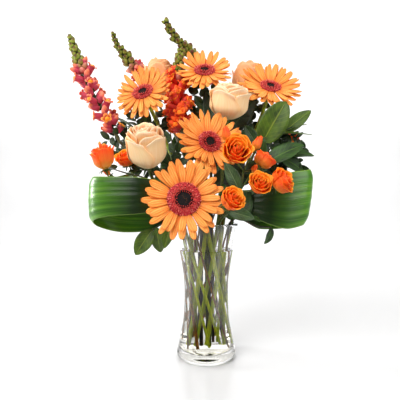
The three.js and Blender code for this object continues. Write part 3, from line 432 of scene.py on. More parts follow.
def packed_tip(base, tip, corners):
    """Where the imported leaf's tip is. The solid tries its tip swung sideways in six directions, and
    shorter. The swing with a corner beside it is the one it took; None if it was left out."""
    reach = tip - base
    length = np.linalg.norm(reach)
    ends = []
    for share in LEAF_LENGTHS:
        for swing in LEAF_SWINGS:
            for side in range(6 if swing else 1):
                angle = side * math.pi / 3
                aside = placed(np.array([math.cos(angle), math.sin(angle), 0]), frame_at([0, 0, 0], reach))
                ends.append(base + unit(reach + aside * swing * length) * length * share)
    fault = misses(np.array(ends), corners)
    best = int(np.argmin(fault))
    return ends[best] if fault[best] < NO_LEAF else None


def stem_in_vase(slot):
    """Cut end, crossing of the rim's level, and direction of a stem in the vase. The cut ends stand at
    four levels, 3 mm apart."""
    ring, index = slot
    at_rim = math.radians(FRONT + 360 / ring["count"] * index)
    at_foot = at_rim + math.radians(ring["twist"])
    lift = ((index * 5) % 4) * 3
    foot = np.array([ring["foot"] * math.cos(at_foot), ring["foot"] * math.sin(at_foot), STEM_FOOT + lift])
    rim = np.array([ring["rim"] * math.cos(at_rim), ring["rim"] * math.sin(at_rim), VASE_HEIGHT])
    return foot, rim, unit(rim - foot)


# ---------------------------------------------------------------- parts of meshes


def grid_faces(rows, columns, wrap=False):
    """Quads of a grid, closed round its columns where wrap is set."""
    last = columns if wrap else columns - 1
    row, column = np.meshgrid(np.arange(rows - 1), np.arange(last), indexing="ij")
    here = row * columns + column
    beside = row * columns + (column + 1) % columns
    return np.stack([here, beside, beside + columns, here + columns], -1).reshape(-1, 4)


def surface_of(rows, columns, own):
    """For each point of a grid: place across −1…1, place along 0…1, and a number of the sheet's own."""
    across = np.broadcast_to(np.linspace(-1, 1, columns), (rows, columns))
    along = np.broadcast_to(np.linspace(0, 1, rows)[:, None], (rows, columns))
    return np.stack([across, along, np.full((rows, columns), float(own))], -1).reshape(-1, 3)


def sheet(points, thickness, own, wrap=False):
    """A thin solid round a grid of points [along, across]: the grid moved by half the thickness along its
    normal to each side, with a wall round its free edges."""
    rows, columns = points.shape[:2]
    padded = np.concatenate([points[:, -1:], points, points[:, :1]], 1) if wrap else points
    across = np.gradient(padded, axis=1)
    across = across[:, 1:-1] if wrap else across
    normal = unit(np.cross(across, np.gradient(points, axis=0))) * thickness / 2
    count = rows * columns
    faces = grid_faces(rows, columns, wrap)
    grid = np.arange(count).reshape(rows, columns)
    edges = [np.concatenate([grid[0, :-1], grid[:-1, -1], grid[-1, :0:-1], grid[:0:-1, 0]])]
    if wrap:
        edges = [grid[0], grid[-1, ::-1]]
    walls = []
    for edge in edges:
        after = np.roll(edge, -1)
        walls.append(np.stack([after, edge, edge + count, after + count], -1))
    return dict(
        points=np.concatenate([points + normal, points - normal]).reshape(-1, 3),
        quads=np.concatenate([faces, faces[:, ::-1] + count, *walls]),
        tris=np.empty((0, 3), int),
        surface=np.tile(surface_of(rows, columns, own), (2, 1)),
        side=np.repeat([1.0, 0.0], count),
    )


def rounded(rings, own=0.0):
    """A closed body through rings of points [ring, point], each end closed by a fan about its middle."""
    rows, sides = rings.shape[:2]
    ends = np.stack([rings[0].mean(0), rings[-1].mean(0)])
    first, last = rows * sides, rows * sides + 1
    around = np.arange(sides)
    beside = (around + 1) % sides
    top = (rows - 1) * sides
    fans = [
        np.stack([np.full(sides, first), beside, around], -1),
        np.stack([np.full(sides, last), top + around, top + beside], -1),
    ]
    surface = surface_of(rows, sides, own)
    return dict(
        points=np.concatenate([rings.reshape(-1, 3), ends]),
        quads=grid_faces(rows, sides, wrap=True),
        tris=np.concatenate(fans),
        surface=np.concatenate([surface, [[0, 0, own], [0, 1, own]]]),
        side=np.ones(rows * sides + 2),
    )


def tube(path, radii, sides):
    """A limb along a path: a ring of its radius about each point, square to the path. Angles are counted
    from the direction that the whole path is most square to."""
    path = np.asarray(path, float)
    onwards = unit(np.gradient(path, axis=0))
    aside = np.linalg.svd(onwards, full_matrices=False)[2][-1]
    across = unit(aside - (onwards @ aside)[:, None] * onwards)
    upwards = np.cross(onwards, across)
    angle = circle(sides)[None, :, None]
    radius = np.broadcast_to(radii, len(path))[:, None, None]
    ring = np.cos(angle) * across[:, None] + np.sin(angle) * upwards[:, None]
    return rounded(path[:, None] + radius * ring)


def turned(profile, place, sides=24, own=0.0):
    """A body turned from an outline of [radius, height] about the z axis of a frame."""
    profile = np.asarray(profile, float)
    return rounded(placed(round_axis(profile[:, :1], circle(sides), profile[:, 1:]), place), own)


def spikes(bases, directions, lengths, width, own, blunt):
    """Many small three-sided spikes at once: a triangle at each base, another of blunt times its width
    half-way up, and a tip."""
    count = len(bases)
    directions = unit(directions)
    other = directions[:, [1, 2, 0]] + [0.1, 0.2, 0.3]
    side = unit(np.cross(directions, other))
    up = np.cross(directions, side)
    angle = np.array([0, 2, 4]) * math.pi / 3
    ring = np.cos(angle)[None, :, None] * side[:, None] + np.sin(angle)[None, :, None] * up[:, None]
    reach = directions * lengths[:, None]
    low = bases[:, None] + ring * width
    middle = (bases + reach * 0.5)[:, None] + ring * width * blunt
    tip = (bases + reach)[:, None]
    quads = np.array([[0, 1, 4, 3], [1, 2, 5, 4], [2, 0, 3, 5]])
    tris = np.array([[0, 2, 1], [3, 4, 6], [4, 5, 6], [5, 3, 6]])
    starts = (np.arange(count) * 7)[:, None, None]
    surface = np.zeros((count, 7, 3))
    surface[..., 1] = [0, 0, 0, 0.5, 0.5, 0.5, 1]
    surface[..., 2] = own[:, None]
    return dict(
        points=np.concatenate([low, middle, tip], 1).reshape(-1, 3),
        quads=(quads[None] + starts).reshape(-1, 4),
        tris=(tris[None] + starts).reshape(-1, 3),
        surface=surface.reshape(-1, 3),
        side=np.ones(count * 7),
    )


def piece(name, groups, nodes):
    """One object at the origin, in metres, made of groups of (material, parts). It rides on the root body
    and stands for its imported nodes."""
    parts = [(index, part) for index, (_, members) in enumerate(groups) for part in members]

    def joined(key):
        return np.concatenate([part[key] for _, part in parts])

    starts = np.concatenate([[0], np.cumsum([len(part["points"]) for _, part in parts])])
    quads = [part["quads"] + start for (_, part), start in zip(parts, starts)]
    tris = [part["tris"] + start for (_, part), start in zip(parts, starts)]
    faces = np.concatenate(quads).tolist() + np.concatenate(tris).tolist()
    mesh = bpy.data.meshes.new(name)
    mesh.from_pydata((joined("points") * MM).tolist(), [], faces)
    slots = [np.repeat([index for index, _ in parts], [len(run) for run in runs]) for runs in (quads, tris)]
    mesh.polygons.foreach_set("material_index", np.concatenate(slots).astype(np.int32))
    mesh.polygons.foreach_set("use_smooth", np.ones(len(faces), bool))
    surface = mesh.attributes.new("surface", "FLOAT_VECTOR", "POINT")
    surface.data.foreach_set("vector", joined("surface").ravel())
    side = mesh.attributes.new("side", "FLOAT", "POINT")
    side.data.foreach_set("value", joined("side"))
    for material, _ in groups:
        mesh.materials.append(material)
    mesh.update()
    made = bpy.data.objects.new(name, mesh)
    bpy.context.scene.collection.objects.link(made)
    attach(made, "root")
    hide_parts(*nodes)


# ---------------------------------------------------------------- finishes

# living tissue is mostly water, and bends light a little more than it
PETAL_SKIN = dict(Roughness=0.6, IOR=1.4)
SHEETS_APART = 37.0  # how far apart in the noise two sheets lie, so that they are streaked differently
WATER_IOR = 1.333


def linear(colour):
    """A shader colour from an sRGB hex value."""
    shares = [int(colour[i : i + 2], 16) / 255 for i in (1, 3, 5)]
    return [s / 12.92 if s <= 0.04045 else ((s + 0.055) / 1.055) ** 2.4 for s in shares] + [1.0]


def feed(tree, node, inputs):
    """Gives sockets of a node their values or links. A hex value is a colour."""
    for key, value in inputs.items():
        if isinstance(value, bpy.types.NodeSocket):
            tree.links.new(value, node.inputs[key])
        else:
            node.inputs[key].default_value = linear(value) if isinstance(value, str) else value


def add(tree, kind, inputs=(), out=0, stops=(), **settings):
    """Adds a shader node and returns one of its outputs, or all of them where out is None. It has
    settings, the places and colours of a ramp, and inputs: in order, or by name or number."""
    made = tree.nodes.new("ShaderNode" + kind)
    for key, value in settings.items():
        setattr(made, key, value)
    if stops:
        ramp = made.color_ramp.elements
        ramp[0].position, ramp[1].position = stops[0][0], stops[-1][0]
        ramp[0].color, ramp[1].color = linear(stops[0][1]), linear(stops[-1][1])
        for place, colour in stops[1:-1]:
            ramp.new(place).color = linear(colour)
    feed(tree, made, inputs if isinstance(inputs, dict) else dict(enumerate(inputs)))
    return made.outputs if out is None else made.outputs[out]


def finish(name, **values):
    """A new material with a Principled shader whose own sockets hold the values given."""
    material = bpy.data.materials.new(name)
    material.use_nodes = True
    tree = material.node_tree
    shader = tree.nodes["Principled BSDF"]
    feed(tree, shader, {key.replace("_", " "): value for key, value in values.items()})
    return material, tree, shader


def coated(made, colour, height=None, depth=0.0, strength=1.0):
    """The material that finish made, with its colour linked, and with the relief of a height where it has
    one. The relief's depth is in millimetres."""
    material, tree, shader = made
    feed(tree, shader, {"Base Color": colour})
    if height is not None:
        relief = add(tree, "Bump", {"Height": height, "Distance": depth * MM, "Strength": strength})
        feed(tree, shader, {"Normal": relief})
    return material


def on_surface(tree):
    """Sockets with the place across (−1 to 1) and along (0 to 1) a sheet, its own number, and which side
    of it shows."""
    place = add(tree, "Attribute", out="Vector", attribute_name="surface")
    parts = add(tree, "SeparateXYZ", [place], out=None)
    side = add(tree, "Attribute", out="Fac", attribute_name="side")
    return parts["X"], parts["Y"], parts["Z"], side


def streaks(tree, across, along, own, half_width, spacing, detail=3.0):
    """Noise drawn out along a sheet, other on each sheet. Its streaks are as far apart as the spacing on
    a sheet of the half width, both in millimetres."""
    x = add(tree, "Math", [across, half_width / spacing], operation="MULTIPLY")
    z = add(tree, "Math", [own, SHEETS_APART], operation="MULTIPLY")
    place = add(tree, "CombineXYZ", [x, along, z])
    return add(tree, "TexNoise", {"Vector": place, "Scale": 1.0, "Detail": detail}, out="Fac")


def tinted(tree, colour, *steps):
    """A colour after some steps. A step (tint, share) turns it to the tint by the share, and a step
    (tint, share, value, low, high) does so from none to the share as the value goes from low to high."""
    for tint, share, *span in steps:
        if span:
            share = add(tree, "MapRange", [*span, 0.0, share])
        colour = add(tree, "Mix", {0: share, 6: colour, 7: tint}, out=2, data_type="RGBA")
    return colour


def gerbera_petal():
    """Gerbera ray petal, thin waxy living tissue: satin, with three soft grooves along it that are painted a
    deeper orange as shade in the creases, streaks half a millimetre apart, and light shining through it."""
    made = finish(
        "gerbera_ray_petal", **PETAL_SKIN, Subsurface_Weight=0.15, Subsurface_Scale=0.0015,
        Subsurface_Radius=(1.0, 0.4, 0.12),
    )
    tree = made[1]
    across, along, own, _ = on_surface(tree)
    body = add(tree, "ValToRGB", [along], stops=[
        (0.0, "#b0440c"), (0.22, "#ea7a20"), (0.5, "#fba446"), (0.9, "#fca244"), (1.0, "#f0842a"),
    ])
    turns = add(tree, "Math", [across, 3 * math.pi], operation="MULTIPLY")
    ridge = add(tree, "Math", [turns], operation="COSINE")
    streak = streaks(tree, across, along, own, 4.5, 0.5)
    colour = tinted(
        tree, body,
        # deeper orange in the three grooves: painted shade in the creases
        ("#e26a18", 0.65, ridge, 1.0, -1.0),
        ("#ffc874", 0.6, streak, 0.45, 0.75),
        ("#e87824", 0.4, own, 0.4, 1.0),
    )
    return coated(made, colour, streak, 0.3)


def gerbera_fringe():
    """Disc florets of a gerbera: dark crimson at their foot, rosy to coral at their tip, velvety."""
    made = finish("gerbera_disc_floret", Roughness=0.7, IOR=1.4)
    tree = made[1]
    _, along, own, _ = on_surface(tree)
    tips = add(tree, "ValToRGB", [along], stops=[(0.0, "#4a080c"), (0.4, "#b01e26"), (1.0, "#ee5a4a")])
    square = add(tree, "Math", [own, own], operation="MULTIPLY")
    coral = add(tree, "Math", [square, along], operation="MULTIPLY")
    colour = tinted(tree, tips, ("#ff9c8a", coral))
    return coated(made, colour)


def gerbera_eye():
    """The unopened middle florets of a gerbera: near black, with a few brown tips."""
    made = finish("gerbera_eye", Roughness=0.8, IOR=1.4)
    tree = made[1]
    _, along, own, _ = on_surface(tree)
    tone = add(tree, "ValToRGB", [own], stops=[(0.0, "#080202"), (0.6, "#1c0604"), (1.0, "#6a3c14")])
    colour = tinted(tree, "#080203", (tone, along))
    return coated(made, colour)


def rose_petal(name, outer, middle, heart, edge):
    """Rose petal, soft living tissue: velvety, yellower at its foot, paler along its lip, and deeper
    towards the heart of the bloom, partly its own colour and partly painted shade deep in the bloom. Its
    sides are deeper with painted shade where the petals overlap. Its veins are too fine to show, so they
    are drawn 2 mm apart."""
    made = finish(
        name, **PETAL_SKIN, Subsurface_Weight=0.2, Subsurface_Scale=0.002,
        Subsurface_Radius=(1.0, 0.5, 0.25),
    )
    tree = made[1]
    across, along, own, _ = on_surface(tree)
    # deeper whorl by whorl towards the heart: partly the rose's own colour, partly painted shade deep in the
    # bloom
    whorl = add(tree, "ValToRGB", [own], stops=[(0.0, outer), (0.45, middle), (1.0, heart)])
    out = add(tree, "Math", [across], operation="ABSOLUTE")
    streak = streaks(tree, across, along, own, 28, 2)
    colour = tinted(
        tree, whorl,
        ("#d2ba78", 0.5, along, 0.35, 0.0),
        # deeper at the petal's sides: painted shade where the petals overlap
        (middle, 0.35, out, 0.6, 0.95),
        (edge, 0.7, along, 0.84, 1.0),
        (middle, 0.4, streak, 0.35, 0.8),
    )
    return coated(made, colour, streak, 0.25)


def spray_petal():
    """Spray rose petal: bright orange inside, flushed red outside and along its lip. Its veins are drawn
    1 mm apart, coarser than they are, so that they show."""
    made = finish(
        "spray_rose_petal", **PETAL_SKIN, Subsurface_Weight=0.5, Subsurface_Scale=0.004,
        Subsurface_Radius=(1.0, 0.4, 0.1),
    )
    tree = made[1]
    across, along, own, side = on_surface(tree)
    inside = add(tree, "ValToRGB", [along], stops=[(0.0, "#ff4a00"), (0.6, "#ff8404"), (1.0, "#ff9414")])
    outside = add(tree, "ValToRGB", [along], stops=[(0.0, "#ff9c34"), (0.45, "#ff6414"), (1.0, "#fc400a")])
    streak = streaks(tree, across, along, own, 12, 1)
    colour = tinted(tree, inside, (outside, side), ("#ff962a", 0.4, streak, 0.4, 0.8))
    return coated(made, colour, streak, 0.2)


def snap_petal(name, tube_colour, lip_colour, throat_colour):
    """Snapdragon floret: a velvety tube of one colour that turns to another at its ruffled lips, and to
    the throat's there the more, the higher the floret's own number is. Its streaks are 1.2 mm apart."""
    made = finish(
        name, **PETAL_SKIN, Subsurface_Weight=0.2, Subsurface_Scale=0.002,
        Subsurface_Radius=(1.0, 0.35, 0.2),
    )
    tree = made[1]
    across, along, own, _ = on_surface(tree)
    body = add(tree, "ValToRGB", [along], stops=[
        (0.0, "#b8905a"), (0.12, tube_colour), (0.6, tube_colour), (0.8, lip_colour), (1.0, lip_colour),
    ])
    lips = add(tree, "MapRange", [along, 0.5, 0.8, 0.0, 1.0])
    throat = add(tree, "Math", [own, lips], operation="MULTIPLY")
    streak = streaks(tree, across, along, own, 12, 1.2)
    colour = tinted(tree, body, (throat_colour, throat), (tube_colour, 0.4, streak, 0.4, 0.8))
    return coated(made, colour, streak, 0.2)


def snap_bud():
    """Snapdragon bud in its hairy calyx: olive green with a brown tip, rosy where it is older, and
    painted near black at its foot as shade where the buds crowd the spike."""
    made = finish("snapdragon_bud", Roughness=0.65, IOR=1.4)
    tree = made[1]
    _, along, own, _ = on_surface(tree)
    # near black at the foot of both ramps: painted shade where the buds crowd the spike
    young = add(tree, "ValToRGB", [along], stops=[
        (0.0, "#100c04"), (0.35, "#2e380c"), (0.62, "#889a2c"), (0.85, "#6c6a26"), (1.0, "#50241a"),
    ])
    older = add(tree, "ValToRGB", [along], stops=[
        (0.0, "#1c240a"), (0.3, "#545c1e"), (0.5, "#b04648"), (1.0, "#e48c7c"),
    ])
    colour = tinted(tree, older, (young, own))
    return coated(made, colour)


def leaf(name, dark, light, vein, roughness):
    """Smooth leaf with a waxy skin: green mottled in blotches 6 mm across, a pale midrib 2 mm wide, and
    side veins that leave it at a slant, nine to a leaf of about 60 mm, which is every 7 mm."""
    made = finish(
        name, Roughness=roughness, IOR=1.45, Subsurface_Weight=0.08, Subsurface_Scale=0.001,
        Subsurface_Radius=(0.3, 1.0, 0.1),
    )
    tree = made[1]
    half_width, side_veins = 15, 9
    across, along, own, _ = on_surface(tree)
    drawn_out = add(tree, "Math", [along, 4.0], operation="MULTIPLY")
    mottle = streaks(tree, across, drawn_out, own, half_width, 6)
    body = add(tree, "ValToRGB", [mottle], stops=[(0.3, dark), (0.75, light)])
    out = add(tree, "Math", [across], operation="ABSOLUTE")
    rows = add(tree, "Math", [along, side_veins], operation="MULTIPLY")
    lead = add(tree, "Math", [out, 2.2], operation="MULTIPLY")
    slant = add(tree, "Math", [rows, lead], operation="SUBTRACT")
    near = add(tree, "Math", [slant, 0.5], operation="PINGPONG")
    line = add(tree, "MapRange", [near, 0.0, 0.12, 1.0, 0.0])
    faint = add(tree, "Math", [line, 0.22], operation="MULTIPLY")
    rib = add(tree, "MapRange", [out, 0.0, 1.05 / half_width, 0.8, 0.0])
    veins = add(tree, "Math", [rib, faint], operation="MAXIMUM")
    colour = tinted(tree, body, (vein, veins))
    return coated(made, colour, veins, 0.4, 0.6)


def aspidistra_leaf():
    """Cast-iron plant leaf: leathery and glossy, with broad stripes 7 mm apart and parallel veins from
    end to end. They are 0.5 to 1 mm apart, drawn at 1.4 mm so that they show. Towards its two ends, deep in
    the bouquet, it is painted near black as shade, and it is pale at its edges."""
    made = finish("aspidistra_leaf", Roughness=0.31, IOR=1.45)
    tree = made[1]
    half_width = 42
    across, along, own, _ = on_surface(tree)
    broad = streaks(tree, across, along, own, half_width, 7)
    fine = streaks(tree, across, along, own, half_width, 1.4, 2.0)
    body = add(tree, "ValToRGB", [broad], stops=[(0.3, "#2c5c04"), (0.55, "#4c8c0c"), (0.8, "#86b824")])
    past_fold = add(tree, "Math", [along, FOLD_AT], operation="SUBTRACT")
    from_fold = add(tree, "Math", [past_fold], operation="ABSOLUTE")
    out = add(tree, "Math", [across], operation="ABSOLUTE")
    colour = tinted(
        tree, body,
        ("#86ae3c", 0.5, fine, 0.5, 0.7),
        # near black towards both ends, away from the fold: painted shade deep in the bouquet
        ("#081802", 0.95, from_fold, 0.1, 0.36),
        ("#7c9c2c", 0.6, out, 0.95, 0.99),
    )
    return coated(made, colour, fine, 0.3)


def stem_skin(name, dark, light, wet):
    """Living stem: green skin streaked lengthwise, and yellower in the water. It is painted darker as shade
    under the bouquet, from 360 mm down towards the rim, and in the water near the vase's middle, deep in the
    bunch. In the water its shine is that of its own IOR against the water's, next to none."""
    own_ior = 1.45
    made = finish(name, Roughness=0.5, IOR=own_ior, Subsurface_Weight=0.05)
    tree = made[1]
    place = add(tree, "TexCoord", out="Object")
    # a streak is 2 mm wide and about 70 mm long, so that it shows at this size
    drawn = add(tree, "Mapping", {"Vector": place, "Scale": (500, 500, 14)})
    noise = add(tree, "TexNoise", {"Vector": drawn, "Scale": 1.0, "Detail": 2.0}, out="Fac")
    parts = add(tree, "SeparateXYZ", [place], out=None)
    height = parts["Z"]
    level = add(tree, "CombineXYZ", [parts["X"], parts["Y"]])
    from_axis = add(tree, "VectorMath", [level], out="Value", operation="LENGTH")
    dry = add(tree, "ValToRGB", [noise], stops=[(0.3, dark), (0.7, light)])
    bright = add(tree, "ValToRGB", [noise], stops=[(0.3, light), (0.6, wet)])
    # in the water: painted shade on the stems near the vase's middle, deep in the bunch
    sunk_shaded = tinted(tree, bright, (dark, 0.9, from_axis, 0.024, 0.011))
    # painted shade under the bouquet from 360 mm down, then the colour in the water
    colour = tinted(tree, dry, (dark, 0.75, height, 0.36, 0.26), (sunk_shaded, 1.0, height, 0.2, 0.16))
    ior = add(tree, "MapRange", [height, 0.165, 0.163, own_ior, own_ior / WATER_IOR])
    feed(tree, made[2], {"IOR": ior})
    return coated(made, colour, noise, 0.3)


def clear(name, ior, colour):
    """A clear smooth body that light goes through, with a trace of colour."""
    return finish(name, Roughness=0.0, IOR=ior, Transmission_Weight=1.0, Base_Color=colour)[0]


RAY_PETAL = gerbera_petal()
FRINGE = gerbera_fringe()
EYE = gerbera_eye()
CREAM = rose_petal("cream_rose_petal", "#fcd6a4", "#f0ae68", "#e49448", "#ffecd0")
PEACH = rose_petal("peach_rose_petal", "#eba66e", "#e2925a", "#d07644", "#f2bc8e")
SPRAY_PETAL = spray_petal()
SNAP_PINK = snap_petal("snapdragon_pink_petal", "#bc3a50", "#f08466", "#fba01c")
SNAP_SCARLET = snap_petal("snapdragon_scarlet_petal", "#d4301e", "#f4500c", "#fc8a10")
SNAP_BUD = snap_bud()
LEAF_GREEN = leaf("broad_leaf", "#122a02", "#2c5204", "#56781c", 0.52)
LEAF_GREY = leaf("olive_leaf", "#2a4002", "#506c04", "#808f28", 0.54)
# near black: the leaves' own dark green with painted shade deep among the flowers, where they sit
LEAF_DARK = leaf("dark_leaf", "#0a1604", "#1e3410", "#364e22", 0.5)
SMALL_LEAF = leaf("small_leaf", "#0e1e04", "#26400c", "#446222", 0.5)
ROSE_LEAF = leaf("rose_leaf", "#22381a", "#426030", "#768c54", 0.45)
ASPIDISTRA = aspidistra_leaf()
GERBERA_GREEN = stem_skin("gerbera_stem_skin", "#2c3a08", "#a2b81a", "#e2ea2c")
ROSE_GREEN = stem_skin("rose_stem_skin", "#22320a", "#8ea61c", "#d6e026")
TWIG_GREEN = stem_skin("twig_skin", "#20240e", "#5c5c24", "#a0661c")
# soda-lime glass, pressed and fire-polished: colourless and smooth
GLASS = clear("soda_lime_glass", 1.5, "#fefefe")
# vase water, with a trace of plant brown
WATER = clear("vase_water", WATER_IOR, "#fcfaf2")

# ---------------------------------------------------------------- vase and water

UPRIGHT = frame_at([0, 0, 0], [0, 0, 1])
ON_AXIS = 0.01  # an outline starts and ends this near its axis, and a fan closes it
HEEL = 6  # radius of the corner between the vase's inner wall and its floor
LIP_RISE = 1.2
PRESS = 0.15  # the water goes this far into the glass, so that no film of air shows
VASE_SIDES = 96


def vase_radius(height):
    """The vase's outer radius at a height, on a smooth curve through the outline's points."""
    way = Way([[radius, 0, level] for radius, level in VASE_OUTLINE])
    fine = way.at(np.linspace(0, 1, 240))
    return np.interp(height, fine[:, 2], fine[:, 0])


def heel_curve(reach):
    """The corner between inner wall and floor, from the wall down: a quarter circle of this reach."""
    angle = np.linspace(0, math.pi / 2, 7)[1:]
    middle = vase_radius(VASE_FLOOR + HEEL) - VASE_WALL - HEEL
    return np.stack([middle + reach * np.cos(angle), VASE_FLOOR + HEEL - reach * np.sin(angle)], -1)


def make_vase():
    """Turned from its outline: from the hollow of its foot up the outside, over a rounded lip, and down
    the inside to the thick floor."""
    outside = np.linspace(3.5, VASE_HEIGHT, 70)
    inside = np.linspace(VASE_HEIGHT, VASE_FLOOR + HEEL, 60)
    angle = np.linspace(0, math.pi, 7)[1:-1]
    lip = vase_radius(VASE_HEIGHT) - VASE_WALL / 2 + np.cos(angle) * VASE_WALL / 2
    profile = np.concatenate([
        [[ON_AXIS, 0.6], [30, 0.6], [36, 0.0], [42, 0.0]],
        np.stack([vase_radius(outside), outside], -1),
        np.stack([lip, VASE_HEIGHT + np.sin(angle) * LIP_RISE], -1),
        np.stack([vase_radius(inside) - VASE_WALL, inside], -1),
        heel_curve(HEEL),
        [[ON_AXIS, VASE_FLOOR]],
    ])
    piece("vase_glass", [(GLASS, [turned(profile, UPRIGHT, VASE_SIDES)])], ["vase"])


def make_water():
    """Turned from its outline: the vase's inside up to the water's level, and drawn up at its edge."""
    heights = np.linspace(VASE_FLOOR + HEEL, WATER_LEVEL - 1, 50)
    edge = vase_radius(WATER_LEVEL) - VASE_WALL + PRESS
    drawn_up = np.array([[0, 0.6], [-1, -0.2], [-2.5, -0.9]])
    profile = np.concatenate([
        [[ON_AXIS, VASE_FLOOR - PRESS]],
        heel_curve(HEEL + PRESS)[::-1],
        np.stack([vase_radius(heights) - VASE_WALL + PRESS, heights], -1),
        drawn_up + [edge, WATER_LEVEL],
        [[ON_AXIS, WATER_LEVEL - 1]],
    ])
    piece("vase_water", [(WATER, [turned(profile, UPRIGHT, VASE_SIDES)])], ["water"])


# ---------------------------------------------------------------- leaves

LEAF_THICKNESS = 0.7
BROAD = 36  # a leaf wider than this is round, and a narrower one is pointed


def leaf_sheet(base, tip, width, face, sag, own, wave=0.5):
    """A pointed oval leaf. Its half width is sin(π·v^0.85)^0.7 of the whole, or ^0.5 for a broad round
    one. It sags as sin(π·v), folds up towards its edges, and its edge waves gently."""
    onwards = tip - base
    sideways = unit(np.cross(onwards, face))
    normal = unit(np.cross(sideways, onwards))
    u, v = (places[..., None] for places in grid_of(11, 21))
    power = 0.5 if width > BROAD else 0.7
    half = 0.5 + (width / 2 - 0.5) * np.sin(math.pi * v**0.85).clip(0) ** power
    height = sag * np.sin(math.pi * v) + np.sqrt(u * u + 0.01) * half * 0.22
    height = height + wave * np.sin(9 * v + 6 * own) * u * u
    return sheet(base + onwards * v + sideways * (u * half) + normal * height, LEAF_THICKNESS, own)


def packed_leaf(corners, base, tip, *shape):
    """A list of one leaf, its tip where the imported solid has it, or of none where the solid has none."""
    end = packed_tip(base, np.array(tip, float), corners)
    return [] if end is None else [leaf_sheet(base, end, *shape)]


def twig_way(spec, bend):
    """A twig above the rim: through its way-points, each moved by the bend, the last by a fifth of it."""
    _, rim, _ = stem_in_vase(spec["slot"])
    moves = np.ones(len(spec["way"]))
    moves[-1] = 0.2
    return Way([rim, *(np.array(spec["way"], float) + moves[:, None] * bend)])


def packed_twig(spec, rings, thinner):
    """The corners of a packed twig, its way above the rim with the bend that it took, and its stem, which
    loses as much of its radius as is given. The solid has a ring at each of so many equal shares."""
    corners = corners_of(spec["name"])
    shares = np.linspace(0, 1, rings)
    bend = packed_bend(lambda bend: twig_way(spec, bend).along(shares)[1:], TWIG - 0.3, corners)
    above = twig_way(spec, bend)
    foot, _, _ = stem_in_vase(spec["slot"])
    path = np.concatenate([[foot], above.along(np.linspace(0, 1, 24))])
    return corners, above, tube(path, np.linspace(TWIG, TWIG - thinner, len(path)), 8)


def sprig(base, tip, count, length, width, seed):
    """A thin side shoot that arches up as 4·v·(1 − v), by a tenth of its length, and small leaves that
    leave its outer part to both sides of it in turn. Returns the shoot's tube and the leaves."""
    draw = np.random.default_rng(seed)
    base, tip = np.array(base, float), np.array(tip, float)
    arch = np.linalg.norm(tip - base) * 0.1
    v = np.linspace(0, 1, 9)
    rise = v[:, None]
    path = base + (tip - base) * rise + np.array([0, 0, 4 * arch]) * rise * (1 - rise)
    onwards = unit(tip - base)
    sideways = unit(np.cross(onwards, TOWARDS_VIEWER))
    leaves = []
    for index in range(count):
        share = 0.3 + 0.7 * index / (count - 1)
        start = on_line(share, v, path)
        side = 0 if index == count - 1 else (1 if index % 2 else -1)
        way = unit(onwards * (0.5 + 0.3 * draw.random()) + side * sideways + 0.3 * draw.normal(size=3))
        size = length * (1 - 0.25 * share) * (0.85 + 0.3 * draw.random())
        face = np.array(TOWARDS_VIEWER) + 0.4 * draw.normal(size=3)
        leaves.append(leaf_sheet(start, start + way * size, width, face, 1.0, draw.random(), 0.2))
    return tube(path, np.linspace(0.8, 0.4, 9), 6), leaves


def make_twig(spec, leaf_material):
    """A twig from its cut end in the vase, its large leaves, and side shoots with small ones. The leaves
    stand on the straight lines between the solid's rings, as the solid's do."""
    rings = 7
    corners, above, stem = packed_twig(spec, rings, 0.5)
    shares = np.linspace(0, 1, rings)
    joints = above.along(shares)

    def base_of(share):
        return on_line(share, shares, joints)

    stems, small = [stem], []
    for index, (place, tip, count, length, width) in enumerate(SPRIGS.get(spec["name"], [])):
        shoot, leaves = sprig(base_of(place), tip, count, length, width, index + len(small))
        stems.append(shoot)
        small += leaves
    large = []
    for index, (place, tip, width, *face) in enumerate(spec["leaves"]):
        look = face[0] if face else TOWARDS_VIEWER
        large += packed_leaf(corners, base_of(place), tip, width, look, 3, 0.13 + 0.17 * index)
    groups = [(TWIG_GREEN, stems), (leaf_material, large)]
    if small:
        groups.append((SMALL_LEAF, small))
    piece(spec["name"] + "_leaves", groups, [spec["name"]])


def make_fine_twig(spec):
    """A dark twig with slim leaflets on its outer part, to both sides of it in turn."""
    corners, above, stem = packed_twig(spec, 9, 0.7)
    leaves = []
    for index in range(spec["leaflets"]):
        share = 0.4 + 0.6 * index / (spec["leaflets"] - 1)
        base = above.along(share)[0]
        side = 1 if index % 2 else -1
        tip = base + above.onwards(share)[0] * spec["length"] * 0.6
        tip = tip + np.array([0, -0.4 * side, side * 0.8]) * spec["length"]
        shape = (1.8 * spec["width"], TOWARDS_VIEWER, 0.8, 0.07 * index, 0.1)
        leaves += packed_leaf(corners, base, tip, *shape)
    piece(spec["name"] + "_leaves", [(TWIG_GREEN, [stem]), (LEAF_DARK, leaves)], [spec["name"]])


